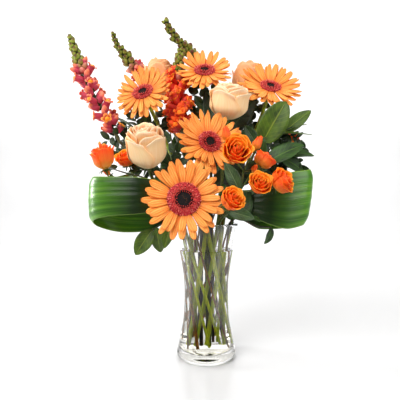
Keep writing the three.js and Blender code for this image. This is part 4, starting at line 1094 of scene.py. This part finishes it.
def make_aspidistra(spec):
    """A long blade on edge, folded into a loop: half its width times u along its across direction, with
    shallow pleats that run from end to end. Its edges curl in by |u|^6, the more the nearer they are to
    the fold."""
    line = np.array(spec["line"], float)
    middle = Way(line[:, :3])
    halves = Way(np.stack([line[:, 3], np.arange(len(line)), np.zeros(len(line))], -1))
    v = np.linspace(0, 1, 97)
    u = np.linspace(-1, 1, 41)
    centre = middle.at(v)
    half = halves.at(v)[:, 0]
    across = np.array(spec["across"], float)
    square = unit(np.cross(across, np.gradient(centre, axis=0)))
    inwards = -square * np.sign(np.sum(square * (centre - centre.mean(axis=0))))
    near_fold = np.exp(-(((v - FOLD_AT) / 0.14) ** 2))[:, None]
    pleat = (0.12 * np.cos(u * 19) + 0.2 * np.cos(u * 8)) * (1 - u**4) - u * u
    pleat = pleat[None, :] - 9 * near_fold * np.abs(u) ** 6
    points = centre[:, None] + across * (u[None, :, None] * half[:, None, None])
    blade = sheet(points - inwards[:, None] * pleat[:, :, None], 0.9, 0.3)

    name = spec["name"]
    foot, rim, leave = stem_in_vase(spec["slot"])
    ends = (rim, leave, middle.at(0)[0], middle.onwards(0)[0])
    corners = corners_of(name)
    rise = packed_limb(ends, LEAF_STALK, corners, 20, told=slice(1, -1), share=0.4, bends=BENDS[:17])
    path = np.concatenate([[foot], rise, middle.at(0.04)])
    stalk = tube(path, np.append(np.full(len(path) - 1, LEAF_STALK), 1.0), 10)
    piece(name + "_leaf", [(ASPIDISTRA, [blade]), (ROSE_GREEN, [stalk])], [name])


# ---------------------------------------------------------------- gerberas

# the two whorls of ray petals: how many, length as a share, height, how far their tips rise, and turn
RAY_WHORLS = [(21, 1.0, 0.0, 0.0, 0.0), (19, 0.88, 1.9, 3.0, 0.15)]
# the rings of disc florets: place as a share of the disc's radius, how many, and length
DISC_RINGS = [
    (0.5, 24, 4.4), (0.58, 26, 5.2), (0.67, 30, 5.4), (0.76, 34, 5.2), (0.85, 38, 4.8), (0.94, 42, 4.2),
]
DISC_FLOOR = 2.05
EYE_NUBS = 90
EYE_SPIRAL = 2.39996  # 137.5° in radians


def ray_petal(angle, hub, tip, half, height, rise, twist):
    """One ray petal along x: its half width is narrow at the hub and about an ellipse from 0.58 of its
    length to its tip, with two small teeth. Three ridges cos(3πu) run along it, its edges turn down, and
    its end is raised."""
    u, v = grid_of(13, 19)
    shape = 0.42 + 0.58 * np.sin(np.clip(v / 0.6, 0, 1) * math.pi / 2)
    shape = shape * np.sqrt(1 - (np.clip((v - 0.58) / 0.43, 0, 1)) ** 2.4)
    teeth = 1.2 * (np.exp(-(((np.abs(u) - 0.38) / 0.15) ** 2))) * smooth(v, 0.9, 1)
    x = hub + (tip - hub) * v - teeth
    y = u * half * shape + 1.6 * twist * v * v
    z = height + rise * v**1.3 + 0.5 * np.cos(3 * math.pi * u) * np.sin(math.pi * v) ** 0.5
    z = z - 0.9 * u * u * shape + twist * u * v
    return swung(x, y, z, angle)


def make_gerbera(spec, number):
    """Two whorls of ray petals round a disc of fringed florets with a dark eye, on a cup of green bracts.
    Petals towards the flower's top rise by the first of its two lifts, and those towards its bottom by
    the second."""
    draw = np.random.default_rng(number)
    facing = unit(spec["facing"])
    place = frame_at(spec["centre"], facing, number)
    up = place[1][:, 2]
    top_angle = math.atan2(up[1], up[0])
    hub, tip = spec["disc"] / 2 + 0.6, spec["size"] / 2
    high, low = spec["lift"]
    petals = []
    for count, reach, height, extra, turn in RAY_WHORLS:
        step = 2 * math.pi / count
        for index in range(count):
            angle = turn + (index + 0.5 + 0.14 * draw.normal()) * step
            towards_top = (1 + math.cos(angle - top_angle)) / 2
            rise = extra + low + (high - low) * towards_top + 1.5 * draw.normal()
            length = tip * reach * (1 + 0.035 * draw.normal())
            half = min(0.09 * tip, 4.9) * (1 + 0.08 * draw.normal())
            points = ray_petal(angle, hub * 0.8, length, half, height, rise, draw.normal())
            petals.append(sheet(placed(points, place), 0.6, draw.random()))
    piece(f"gerbera_{number}_rays", [(RAY_PETAL, petals)], [f"gerbera_{number}_petals"])
    make_disc(spec, number, place, draw)
    make_gerbera_stem(spec, number, facing)


def make_disc(spec, number, place, draw):
    """A low dome, rings of floret tips that lean further out towards its edge, and small buds on its eye
    in a sunflower spiral: the nth at √n of the radius and n times 137.5°."""
    radius = spec["disc"] / 2
    eye = 0.54 * radius
    upwards = np.array([0, 0, 1])
    bases, ways, tones = [], [], []
    for share, count, length in DISC_RINGS:
        angle = np.arange(count) * 2 * math.pi / count + draw.random(count) * 0.14
        out = round_axis(1, angle, 0)
        lean = -0.1 + 1.2 * smooth(share, 0.45, 1.0) + 0.2 * draw.normal(size=count)
        bases.append(out * radius * (share - 0.05) + [0, 0, DISC_FLOOR + 0.9])
        reach = length * (0.8 + 0.16 * draw.normal(size=count))
        ways.append((np.sin(lean)[:, None] * out + np.cos(lean)[:, None] * upwards) * reach[:, None])
        tones.append(draw.random(count) * smooth(share, 0.35, 0.8))
    bases, ways, tones = (np.concatenate(rows) for rows in (bases, ways, tones))
    reach = np.linalg.norm(ways, axis=1)
    florets = spikes(placed(bases, place), ways @ place[1], reach, 0.045 * radius, tones, 1.0)

    order = np.arange(EYE_NUBS)
    spiral = round_axis(1, order * EYE_SPIRAL, 0)
    nubs = spiral * eye * np.sqrt((order + 0.5) / EYE_NUBS)[:, None] + [0, 0, DISC_FLOOR + 0.4]
    brown = np.clip(draw.random(EYE_NUBS) ** 4 + 0.6 * (order < 14), 0, 1)
    onwards = np.tile(place[1][2], (EYE_NUBS, 1))
    eyes = spikes(placed(nubs, place), onwards, 1.4 + draw.random(EYE_NUBS), 0.075 * eye, brown, 1.1)
    # radius and height over the disc's floor
    dome = np.array([
        [ON_AXIS, 0], [radius, 0], [radius * 0.96, 1.2], [radius * 0.75, 1.7],
        [eye * 1.08, 1.4], [eye, 0.9], [ON_AXIS, 0.9],
    ])
    pit = np.array([[ON_AXIS, 0.9], [eye, 0.9], [eye * 0.9, 1.2], [ON_AXIS, 1.3]])
    fringe = [florets, turned(dome + [0, DISC_FLOOR], place, 36)]
    groups = [(FRINGE, fringe), (EYE, [eyes, turned(pit + [0, DISC_FLOOR], place)])]
    piece(f"gerbera_{number}_florets", groups, [f"gerbera_{number}_disc"])


def bracts(place, height, radius, length, width, turn):
    """A whorl of 13 pointed bracts laid on a cup that widens between two radii as v^0.9, each a small
    sheet whose middle stands out from its edges by u²."""
    count = 13
    u, v = grid_of(5, 7)
    out = radius[0] + (radius[1] - radius[0]) * v**0.9 - 0.12 * width * u * u
    side = u * width / 2 * np.sin(math.pi * (0.25 + 0.75 * v)).clip(0) ** 0.7
    parts = []
    for index in range(count):
        points = swung(out, side, height + length * v, turn + index * 2 * math.pi / count)
        parts.append(sheet(placed(points, place), 0.5, 0.2))
    return parts


def make_gerbera_stem(spec, number, facing):
    """A thick round stem that swells into the cup of bracts under the flower."""
    node = f"gerbera_{number}_stem"
    back = np.array(spec["centre"], float) - facing * (0.8 + GAP)
    neck = back - facing * 12
    stem = packed_stem(spec["slot"], neck, facing, GERBERA_STEM, node, 14)
    place = frame_at(neck, facing)
    cup = [[2.6, -1], [3.3, 0], [4.6, 2], [8.6, 4.4], [11.2, 7.5], [12.8, 12], [ON_AXIS, 12]]
    scales = bracts(place, 1.5, (4.2, 11.8), 7.5, 4.2, 0.0)
    scales += bracts(place, 4.6, (8.8, 13.6), 8.0, 4.6, 0.24)
    groups = [(GERBERA_GREEN, [stem, turned(cup, place, 28)]), (ROSE_GREEN, scales)]
    piece(node + "_green", groups, [node])


# ---------------------------------------------------------------- roses

# whorls of petals from the outside in: how many, radius as a share of the bloom's width, top as a
# share of its height, half spread in degrees, how far they lean in, how far their lip rolls out, and how
# far they narrow at the top
LARGE_WHORLS = [
    (4, 0.48, 0.82, 68, 0.03, 0.05, 0.42),
    (4, 0.45, 0.9, 66, 0.09, 0.045, 0.34),
    (4, 0.395, 0.95, 62, 0.16, 0.035, 0.12),
    (5, 0.32, 0.97, 58, 0.2, 0.03, 0.05),
    (5, 0.245, 0.97, 60, 0.2, 0.025, 0.0),
    (4, 0.175, 0.96, 75, 0.2, 0.02, 0.0),
    (3, 0.105, 0.95, 95, 0.2, 0.01, 0.0),
]
SPRAY_WHORLS = [
    (5, 0.46, 0.8, 50, -0.1, 0.06, 0.1),
    (5, 0.38, 0.88, 54, -0.04, 0.05, 0.1),
    (4, 0.28, 0.94, 62, 0.05, 0.03, 0.05),
    (3, 0.19, 0.98, 80, 0.2, 0.01, 0.0),
    (2, 0.1, 0.98, 120, 0.35, 0.0, 0.0),
]
BUD_WHORLS = [
    (3, 0.44, 0.85, 75, 0.35, 0.0, 0.3),
    (3, 0.36, 0.95, 80, 0.5, 0.0, 0.2),
    (2, 0.22, 1.0, 110, 0.6, 0.0, 0.0),
]


def rose_bloom(place, width, height, whorls, seed, thickness=0.6, detail=(15, 17), ruffle=1.4):
    """Whorls of petals wrapped round an axis. A petal rises from the foot as the sine of its height to
    the belly and leans in above it by close. It loses the share called narrow of its spread at the top,
    which falls away to both sides as |u|^2.2, and its lip rolls out and down in waves. One side of it
    lies a little further out than the other, so that the petals overlap in a spiral."""
    draw = np.random.default_rng(seed)
    u, v = grid_of(*detail)
    rise = v * (1 - 0.16 * np.abs(u) ** 2.2)
    belly = np.sin(np.clip(rise / 0.45, 0, 1) * math.pi / 2) ** 0.8
    lip = np.clip((v - 0.76) / 0.24, 0, 1) * (1 - 0.4 * u * u)
    parts = []
    turn = draw.random() * 6
    for whorl, (count, radius, top, spread, close, roll, narrow) in enumerate(whorls):
        for index in range(count):
            angle = turn + 2 * math.pi * index / count + 0.08 * ruffle * draw.normal()
            out = radius * width * (0.2 + 0.8 * belly) * (1 - close * smooth(rise, 0.35, 1.0))
            wave = np.sin(3.4 * u + 7 * draw.random()) + 0.6 * np.sin(7 * u + 7 * draw.random())
            out = out + roll * width * lip**1.5 + 0.01 * ruffle * width * wave * v**3
            out = out * (1 + 0.05 * u)
            z = height * (top + 0.015 * ruffle * draw.normal()) * rise - 0.85 * roll * width * lip**2.4
            z = z + 0.01 * ruffle * height * np.sin(5 * u + 9 * draw.random()) * v**4
            taper = (0.8 + 0.2 * belly) * (1 - narrow * smooth(v, 0.5, 1.0))
            points = round_axis(out, angle + math.radians(spread) * u * taper, z)
            parts.append(sheet(placed(points, place), thickness, whorl / (len(whorls) - 1)))
        turn += math.pi / count + 0.5
    heart = [
        [ON_AXIS, 0], [0.1 * width, 0.1 * height], [0.08 * width, 0.5 * height], [ON_AXIS, 0.82 * height],
    ]
    return parts + [turned(heart, place, 12, 1.0)]


def sepals(place, length, width, droop, start):
    """Five pointed sepals spread from under a bloom: out by length times v, and down by droop times v²."""
    u, v = grid_of(5, 11)
    parts = []
    for index in range(5):
        y = u * width / 2 * (1 - v) ** 0.7 * (0.6 + 0.8 * v) + 0.6 * np.sin(5 * v + index)
        z = -droop * v**2 + 0.25 * width * np.abs(u) * (1 - v)
        points = swung(start + length * v, y, z, 0.4 + index * 2 * math.pi / 5)
        parts.append(sheet(placed(points, place), 0.5, 0.4))
    return parts


def make_rose(spec, number):
    """A large rose, and its stem, which ends in a turned cup with sepals under the bloom."""
    facing = unit(spec["facing"])
    base = np.array(spec["base"], float)
    height = TALL_BLOOMS.get(f"rose_{number}", spec["height"])
    place = frame_at(base, facing, number * 1.3)
    bloom = rose_bloom(place, spec["width"], height, LARGE_WHORLS, 40 + number)
    material = CREAM if number < 3 else PEACH
    piece(f"rose_{number}_bloom", [(material, bloom)], [f"rose_{number}_petals"])
    node = f"rose_{number}_stem"
    stem = packed_stem(spec["slot"], base - facing * (GAP + 5), facing, ROSE_STEM, node, 12)
    seat = frame_at(base - facing * GAP, facing)
    cup = turned([[2.2, -6.5], [3.2, -5], [4.6, -3], [5.4, -1.2], [5.0, 0], [ON_AXIS, 0]], seat, 20)
    spread = sepals(frame_at(base - facing * 2, facing), 13, 6, 5, 4)
    piece(node + "_green", [(ROSE_GREEN, [stem, cup]), (ROSE_LEAF, spread)], [node])


# ---------------------------------------------------------------- spray roses

STALK = 1.25


def make_spray(name, spec):
    """A branching stem with open blooms and furled buds, each on its own stalk with five sepals."""
    node = name + "_stem"
    corners = corners_of(node)
    foot, start, leave = stem_in_vase(spec["slot"])
    forks = np.array(spec["forks"], float)
    green, leafy = [], []
    for index, fork in enumerate(forks):
        beyond = forks[index + 1] if index + 1 < len(forks) else 2 * fork - start
        arrive = unit(beyond - start)
        radius = SPRAY_STEM - 0.2 * index
        path = packed_limb((start, leave, fork, arrive), radius, corners, 16, rings=3, bends=BENDS[:9])
        green.append(tube(path if index else np.concatenate([[foot], path]), radius, 10))
        start, leave = fork, arrive
    for index, (bloom, at, centre, facing, size, bud) in enumerate(spec["blooms"]):
        facing = unit(facing)
        height = TALL_BLOOMS.get(bloom, size * (1.35 if bud else 0.78))
        base = np.array(centre, float) - facing * height / 2
        place = frame_at(base, facing, index * 1.7)
        if bud:
            parts = rose_bloom(place, size * 0.9, height, BUD_WHORLS, 60 + index, 0.4, (9, 11))
        else:
            parts = rose_bloom(place, size, height, SPRAY_WHORLS, 70 + index, 0.5, (11, 13), 3.2)
        piece(bloom + "_bloom", [(SPRAY_PETAL, parts)], [bloom + "_petals"])
        seat = base - facing * GAP
        ends = (forks[at], unit(seat - forks[at]), seat - facing * 6, facing)
        rise = packed_limb(ends, 1.2, corners, 16, rings=2, told=slice(1, 2), share=0.7)
        green.append(tube(np.concatenate([rise, [seat - facing * 2]]), STALK, 8))
        cup = min(4.5, size * 0.2)
        outline = [[1.0, -4.5], [0.6 * cup, -3.6], [0.95 * cup, -1.8], [cup, 0], [ON_AXIS, 0]]
        green.append(turned(outline, frame_at(seat, facing), 16))
        leafy += sepals(frame_at(seat - facing * 1.2, facing), 2.2 * cup, 0.9 * cup, 0.8 * cup, 0.7 * cup)
    for index, (at, tip, width) in enumerate(spec["leaves"]):
        leafy += packed_leaf(corners, forks[at], tip, width, TOWARDS_VIEWER, 2, 0.2 + 0.2 * index)
    piece(node + "_green", [(ROSE_GREEN, green), (ROSE_LEAF, leafy)], [node])


# ---------------------------------------------------------------- snapdragons

GOLDEN = math.radians(137.5)
CORE_STEPS = 40
# how a solid's floret may be turned round the spike to pass the others
FLORET_TURNS = (0, 0.5, -0.5, 1, -1, 1.6, -1.6, 2.3)
NO_FLORET = 1.5  # with its lobes' corners further off than this on average, the solid was left without it
LEAN = 28  # of a floret, in degrees
# more florets beside a scarlet one: share of the way to the next, radians round the spike, and lean
SCARLET_MORE = ((0.5, 2.4, 28), (0.8, 4.2, 12))
# the solids draw the lengths of their florets with this linear congruential generator
DRAW_TIMES, DRAW_PLUS, DRAW_RANGE = 1664525, 1013904223, 4294967296


def bud_body(length, radius, place, own):
    """A plump bud: a turned body whose radius is the square root of sin(π·v^0.75)."""
    v = np.linspace(0.04, 0.97, 7)[:, None]
    points = round_axis(radius * np.sqrt(np.sin(math.pi * v**0.75)), circle(8), length * v)
    return rounded(placed(points, place), own)


def floret(length, place, own, draw):
    """A snapdragon floret. Its tube is a ruffled sheet wrapped round its axis that widens at once to a
    pouch, then parts into five lobes of |cos 2.5θ| that flare and curl back. A swollen palate fills its
    mouth on the lower side."""
    theta = circle(20)
    v = np.linspace(0, 1, 13)[:, None]
    pouch = np.sin(np.clip(v / 0.35, 0, 1) * math.pi / 2)
    flare = np.clip((v - 0.6) / 0.4, 0, 1)
    lobe = np.abs(np.cos(2.5 * theta)) ** 0.4
    belly = 0.06 * (0.5 - 0.5 * np.cos(theta)) * np.sin(math.pi * v)
    radius = length * (0.06 + 0.14 * pouch + flare * (0.05 + 0.15 * lobe) + belly)
    height = length * (0.8 * np.minimum(v / 0.6, 1) + flare * (0.04 + 0.28 * lobe) - 0.24 * flare**3 * lobe)
    ruffle = 0.04 * length * np.sin(7.5 * theta + 5 * draw.random()) * flare**2
    mouth = placed(np.array([-0.05 * length, 0, 0.6 * length]), place)
    palate = bud_body(0.38 * length, 0.2 * length, (mouth, place[1]), 0.0)
    palate["surface"][:, 1:] = 1.0
    points = placed(round_axis(radius, theta, height + ruffle), place)
    return [sheet(points, 0.5, own, wrap=True), palate]


def on_spike(spike, share, angle, lean):
    """A place on a spike, the direction at an angle round it that leans by so many degrees from square to
    it towards its tip, and the spike's own direction there."""
    along = spike.onwards(share)[0]
    out = frame_at([0, 0, 0], along, angle)[1][0]
    lean = math.radians(lean)
    return spike.along(share)[0], unit(out * math.cos(lean) + along * math.sin(lean)), along


def floret_on(stand, length, own, draw):
    """A floret that stands on a spike, with its lower lip away from the spike's tip."""
    place, facing, along = stand
    sideways = unit(np.cross(facing, along))
    axes = np.stack([np.cross(sideways, facing), sideways, facing])
    return floret(length, (place + 0.6 * facing, axes), own, draw)


def packed_turn(spike, share, angle, length, index, corners):
    """How far its five lobes' tips are from the corners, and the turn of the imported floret, for the turn
    that brings them nearest."""
    tips = np.arange(0, 10, 2) * math.pi / 5
    ring = np.stack([np.cos(tips), np.sin(tips)], -1) * 0.46 * length
    tries = []
    for turn in FLORET_TURNS:
        place, facing, _ = on_spike(spike, share, angle + turn, LEAN)
        axes = frame_at(place, facing, index)[1]
        lobes = place + 0.6 * facing + ring @ axes[:2] + facing * length
        tries.append((misses(lobes, corners).mean(), turn))
    return min(tries)


def open_florets(spec, spike, corners, draw):
    """The open florets of the lower spike and their calyxes, two more florets beside each where it is
    scarlet, and two closed ones beside each."""
    blooms, calyxes = [], []
    floret_share = 1 - spec["buds_to"]
    scarlet = spec["scarlet"]
    state = spec["seed"]
    for index in range(spec["florets"]):
        state = (state * DRAW_TIMES + DRAW_PLUS) % DRAW_RANGE
        length = spec["floret"] + 2.5 * (state / DRAW_RANGE * 2 - 1)
        share = 0.06 + floret_share * index / spec["florets"]
        fault, turn = packed_turn(spike, share, index * GOLDEN, length, index, corners)
        if fault > NO_FLORET:
            continue
        angle = index * GOLDEN + turn
        stand = on_spike(spike, share, angle, LEAN)
        tone = np.clip(0.75 - 0.9 * share / floret_share + 0.25 * draw.normal(), 0, 1)
        blooms += floret_on(stand, length * (0.98 if scarlet else 0.9), tone, draw)
        calyxes.append(bud_body(10, 3.8, frame_at(*stand[:2]), 0.95))
        for step, further, lean in SCARLET_MORE if scarlet else ():
            between = share + step * floret_share / spec["florets"]
            stand = on_spike(spike, between, angle + further, lean)
            blooms += floret_on(stand, length * 0.8, 1 - tone, draw)
        for step in (0.3, 0.65):
            between = share + step * floret_share / spec["florets"]
            place, facing, _ = on_spike(spike, between, angle + 6 * step, 20 + 25 * draw.random())
            closed = spec["floret"] * (0.7 + 0.24 * draw.random())
            inside = frame_at(place + facing, facing)
            blooms.append(bud_body(closed, closed * 0.24, inside, 0.2 * draw.random()))
            calyxes.append(bud_body(9, 3.6, frame_at(place, facing), 0.95))
    return blooms, calyxes


def tip_buds(spec, spike, draw):
    """The buds of the upper spike in a spiral of 137.5°, smaller and greener towards its tip."""
    buds = []
    total = int(spec["buds"] * 2.2)
    floret_share = 1 - spec["buds_to"]
    for index in range(total):
        way = index / total
        share = floret_share - 0.02 + (1 - floret_share) * way
        place, facing, _ = on_spike(spike, min(share, 0.99), index * GOLDEN, 22 + 34 * way)
        size = 1.12 * spec["bud"] * (1 - 0.54 * way) * (1 + 0.12 * draw.normal())
        young = 0.9 * smooth(way, 0.0, 0.35) + 0.1 * draw.random()
        buds.append(bud_body(size, size * 0.36, frame_at(place, facing), young))
    return buds


def make_snapdragon(spec):
    """A stem that goes over into a spike, which is thicker where the buds sit on it and runs out at its
    tip. It has open florets below and buds above."""
    name = spec["name"]
    corners = corners_of(name)
    draw = np.random.default_rng(spec["seed"])
    spike = Way(spec["spike"][::-1])
    foot, rim, leave = stem_in_vase(spec["slot"])
    rise = packed_limb((rim, leave, spike.along(0)[0], spike.onwards(0)[0]), SPIKE_STEM, corners, 30)
    shares = np.linspace(0, 1, CORE_STEPS)
    path = np.concatenate([[foot], rise[:-1], spike.along(shares)])
    crowd = np.clip((shares - (1 - spec["buds_to"])) / spec["buds_to"], 0, 1)
    core = np.where(crowd > 0, SPIKE_CORE + (1 - SPIKE_CORE) * crowd, SPIKE_STEM)
    stem = tube(path, np.concatenate([np.full(len(path) - CORE_STEPS, SPIKE_STEM), core]), 10)
    blooms, calyxes = open_florets(spec, spike, corners, draw)
    buds = calyxes + tip_buds(spec, spike, draw)
    petal = SNAP_SCARLET if spec["scarlet"] else SNAP_PINK
    piece(name + "_spike", [(TWIG_GREEN, [stem]), (SNAP_BUD, buds), (petal, blooms)], [name])


# ---------------------------------------------------------------- the studio

# where the photo was taken from, and its lens, fitted to the vase and the level of its rims
VIEWPOINT = [-9.6, -590, 240]
LENS = 34.2
FLOOR_NEAR, FLOOR_FAR, SWEEP_RADIUS, WALL_TOP = -3000, 1500, 600, 3500
# name, place and aim in millimetres, size in millimetres, and watts
LIGHTS = [
    ("key_light", (-900, -1250, 1450), (0, 0, 300), 1500, 51),
    ("fill_light", (1300, -1000, 800), (0, 0, 250), 1200, 20),
    ("back_light", (0, 900, 1700), (0, 0, 300), 1200, 12),
    ("wall_light_left", (-1200, 900, 2000), (-1200, 2100, 1550), 1800, 31),
    ("wall_light_right", (1200, 900, 2000), (1200, 2100, 1550), 1800, 31),
    ("left_strip", (-1200, 250, 450), (-160, 0, 240), 350, 12),
]


def white_acrylic():
    """A studio's matt white acrylic sheet, smooth enough for a faint reflection. Painted shade makes it a
    little darker under the object than behind it, and dark in front, so that glass and leaves stay clear of
    its shine."""
    made = finish("white_acrylic", Roughness=0.25, IOR=1.49)
    tree = made[1]
    place = add(tree, "TexCoord", out="Object")
    depth = add(tree, "SeparateXYZ", [place], out="Y")
    # painted shade: a little darker near the object than behind it, and dark in front of it
    colour = tinted(
        tree, "#d4d4d4",
        ("#e2e2e2", 1.0, depth, 0.1, 0.9),
        ("#646464", 1.0, depth, -0.16, -0.45),
    )
    return coated(made, colour)


def make_sweep():
    """A white sweep: a floor that curves up by a quarter circle into a wall behind."""
    angle = np.linspace(0, math.pi / 2, 12)[1:]
    bend_depth = FLOOR_FAR + SWEEP_RADIUS * np.sin(angle)
    bend_height = SWEEP_RADIUS * (1 - np.cos(angle))
    depth = np.concatenate([np.linspace(FLOOR_NEAR, FLOOR_FAR, 10), bend_depth, [FLOOR_FAR + SWEEP_RADIUS]])
    height = np.concatenate([np.zeros(10), bend_height, [WALL_TOP]]) - 0.3
    side = np.linspace(-4000, 4000, 9)
    points = np.stack(np.broadcast_arrays(side[None], depth[:, None], height[:, None]), -1)
    mesh = bpy.data.meshes.new("studio_sweep")
    mesh.from_pydata((points.reshape(-1, 3) * MM).tolist(), [], grid_faces(*points.shape[:2]).tolist())
    mesh.polygons.foreach_set("use_smooth", np.ones(len(mesh.polygons), bool))
    mesh.materials.append(white_acrylic())
    sweep = bpy.data.objects.new("studio_sweep", mesh)
    bpy.context.scene.collection.objects.link(sweep)


def make_camera():
    """The photo's camera, level and looking along +Y."""
    camera = bpy.data.objects.new("photo_camera", bpy.data.cameras.new("photo_camera"))
    camera.location = np.array(VIEWPOINT) * MM
    camera.rotation_euler = (math.pi / 2, 0, 0)
    camera.data.lens = LENS
    camera.data.clip_start = 0.01
    bpy.context.scene.collection.objects.link(camera)
    bpy.context.scene.camera = camera


def make_lights():
    """Soft square lights, and a room that is darker on the camera's side."""
    for name, place, aim, size, power in LIGHTS:
        light = bpy.data.lights.new(name, "AREA")
        light.size = size * MM
        light.energy = power
        lamp = bpy.data.objects.new(name, light)
        lamp.location = np.array(place) * MM
        lamp.rotation_euler = Vector(np.array(place, float) - aim).to_track_quat("Z", "Y").to_euler()
        bpy.context.scene.collection.objects.link(lamp)
    world = bpy.data.worlds.new("studio")
    world.use_nodes = True
    tree = world.node_tree
    direction = add(tree, "TexCoord", out="Generated")
    onwards = add(tree, "SeparateXYZ", [direction], out="Y")
    strength = add(tree, "MapRange", [onwards, -0.6, 0.6, 0.06, 0.46])
    feed(tree, tree.nodes["Background"], {"Color": "#ffffff", "Strength": strength})
    bpy.context.scene.world = world
    bpy.context.scene.view_settings.view_transform = "Standard"


# ---------------------------------------------------------------- everything in its place

make_sweep()
make_camera()
make_lights()
make_vase()
make_water()
for number, spec in enumerate(GERBERAS, 1):
    make_gerbera(spec, number)
for number, spec in enumerate(ROSES, 1):
    make_rose(spec, number)
for name, spec in SPRAYS.items():
    make_spray(name, spec)
for spec in ASPIDISTRAS:
    make_aspidistra(spec)
for spec in SNAPDRAGONS:
    make_snapdragon(spec)
LEAF_OF = {
    "foliage_right_upper": LEAF_GREY, "foliage_right_lower": LEAF_GREEN, "foliage_centre": LEAF_DARK,
    "foliage_left_lower": LEAF_GREY, "foliage_right_front": LEAF_GREEN,
}
for spec in TWIGS:
    make_twig(spec, LEAF_OF.get(spec["name"], LEAF_GREEN))
make_fine_twig(FINE_TWIG)
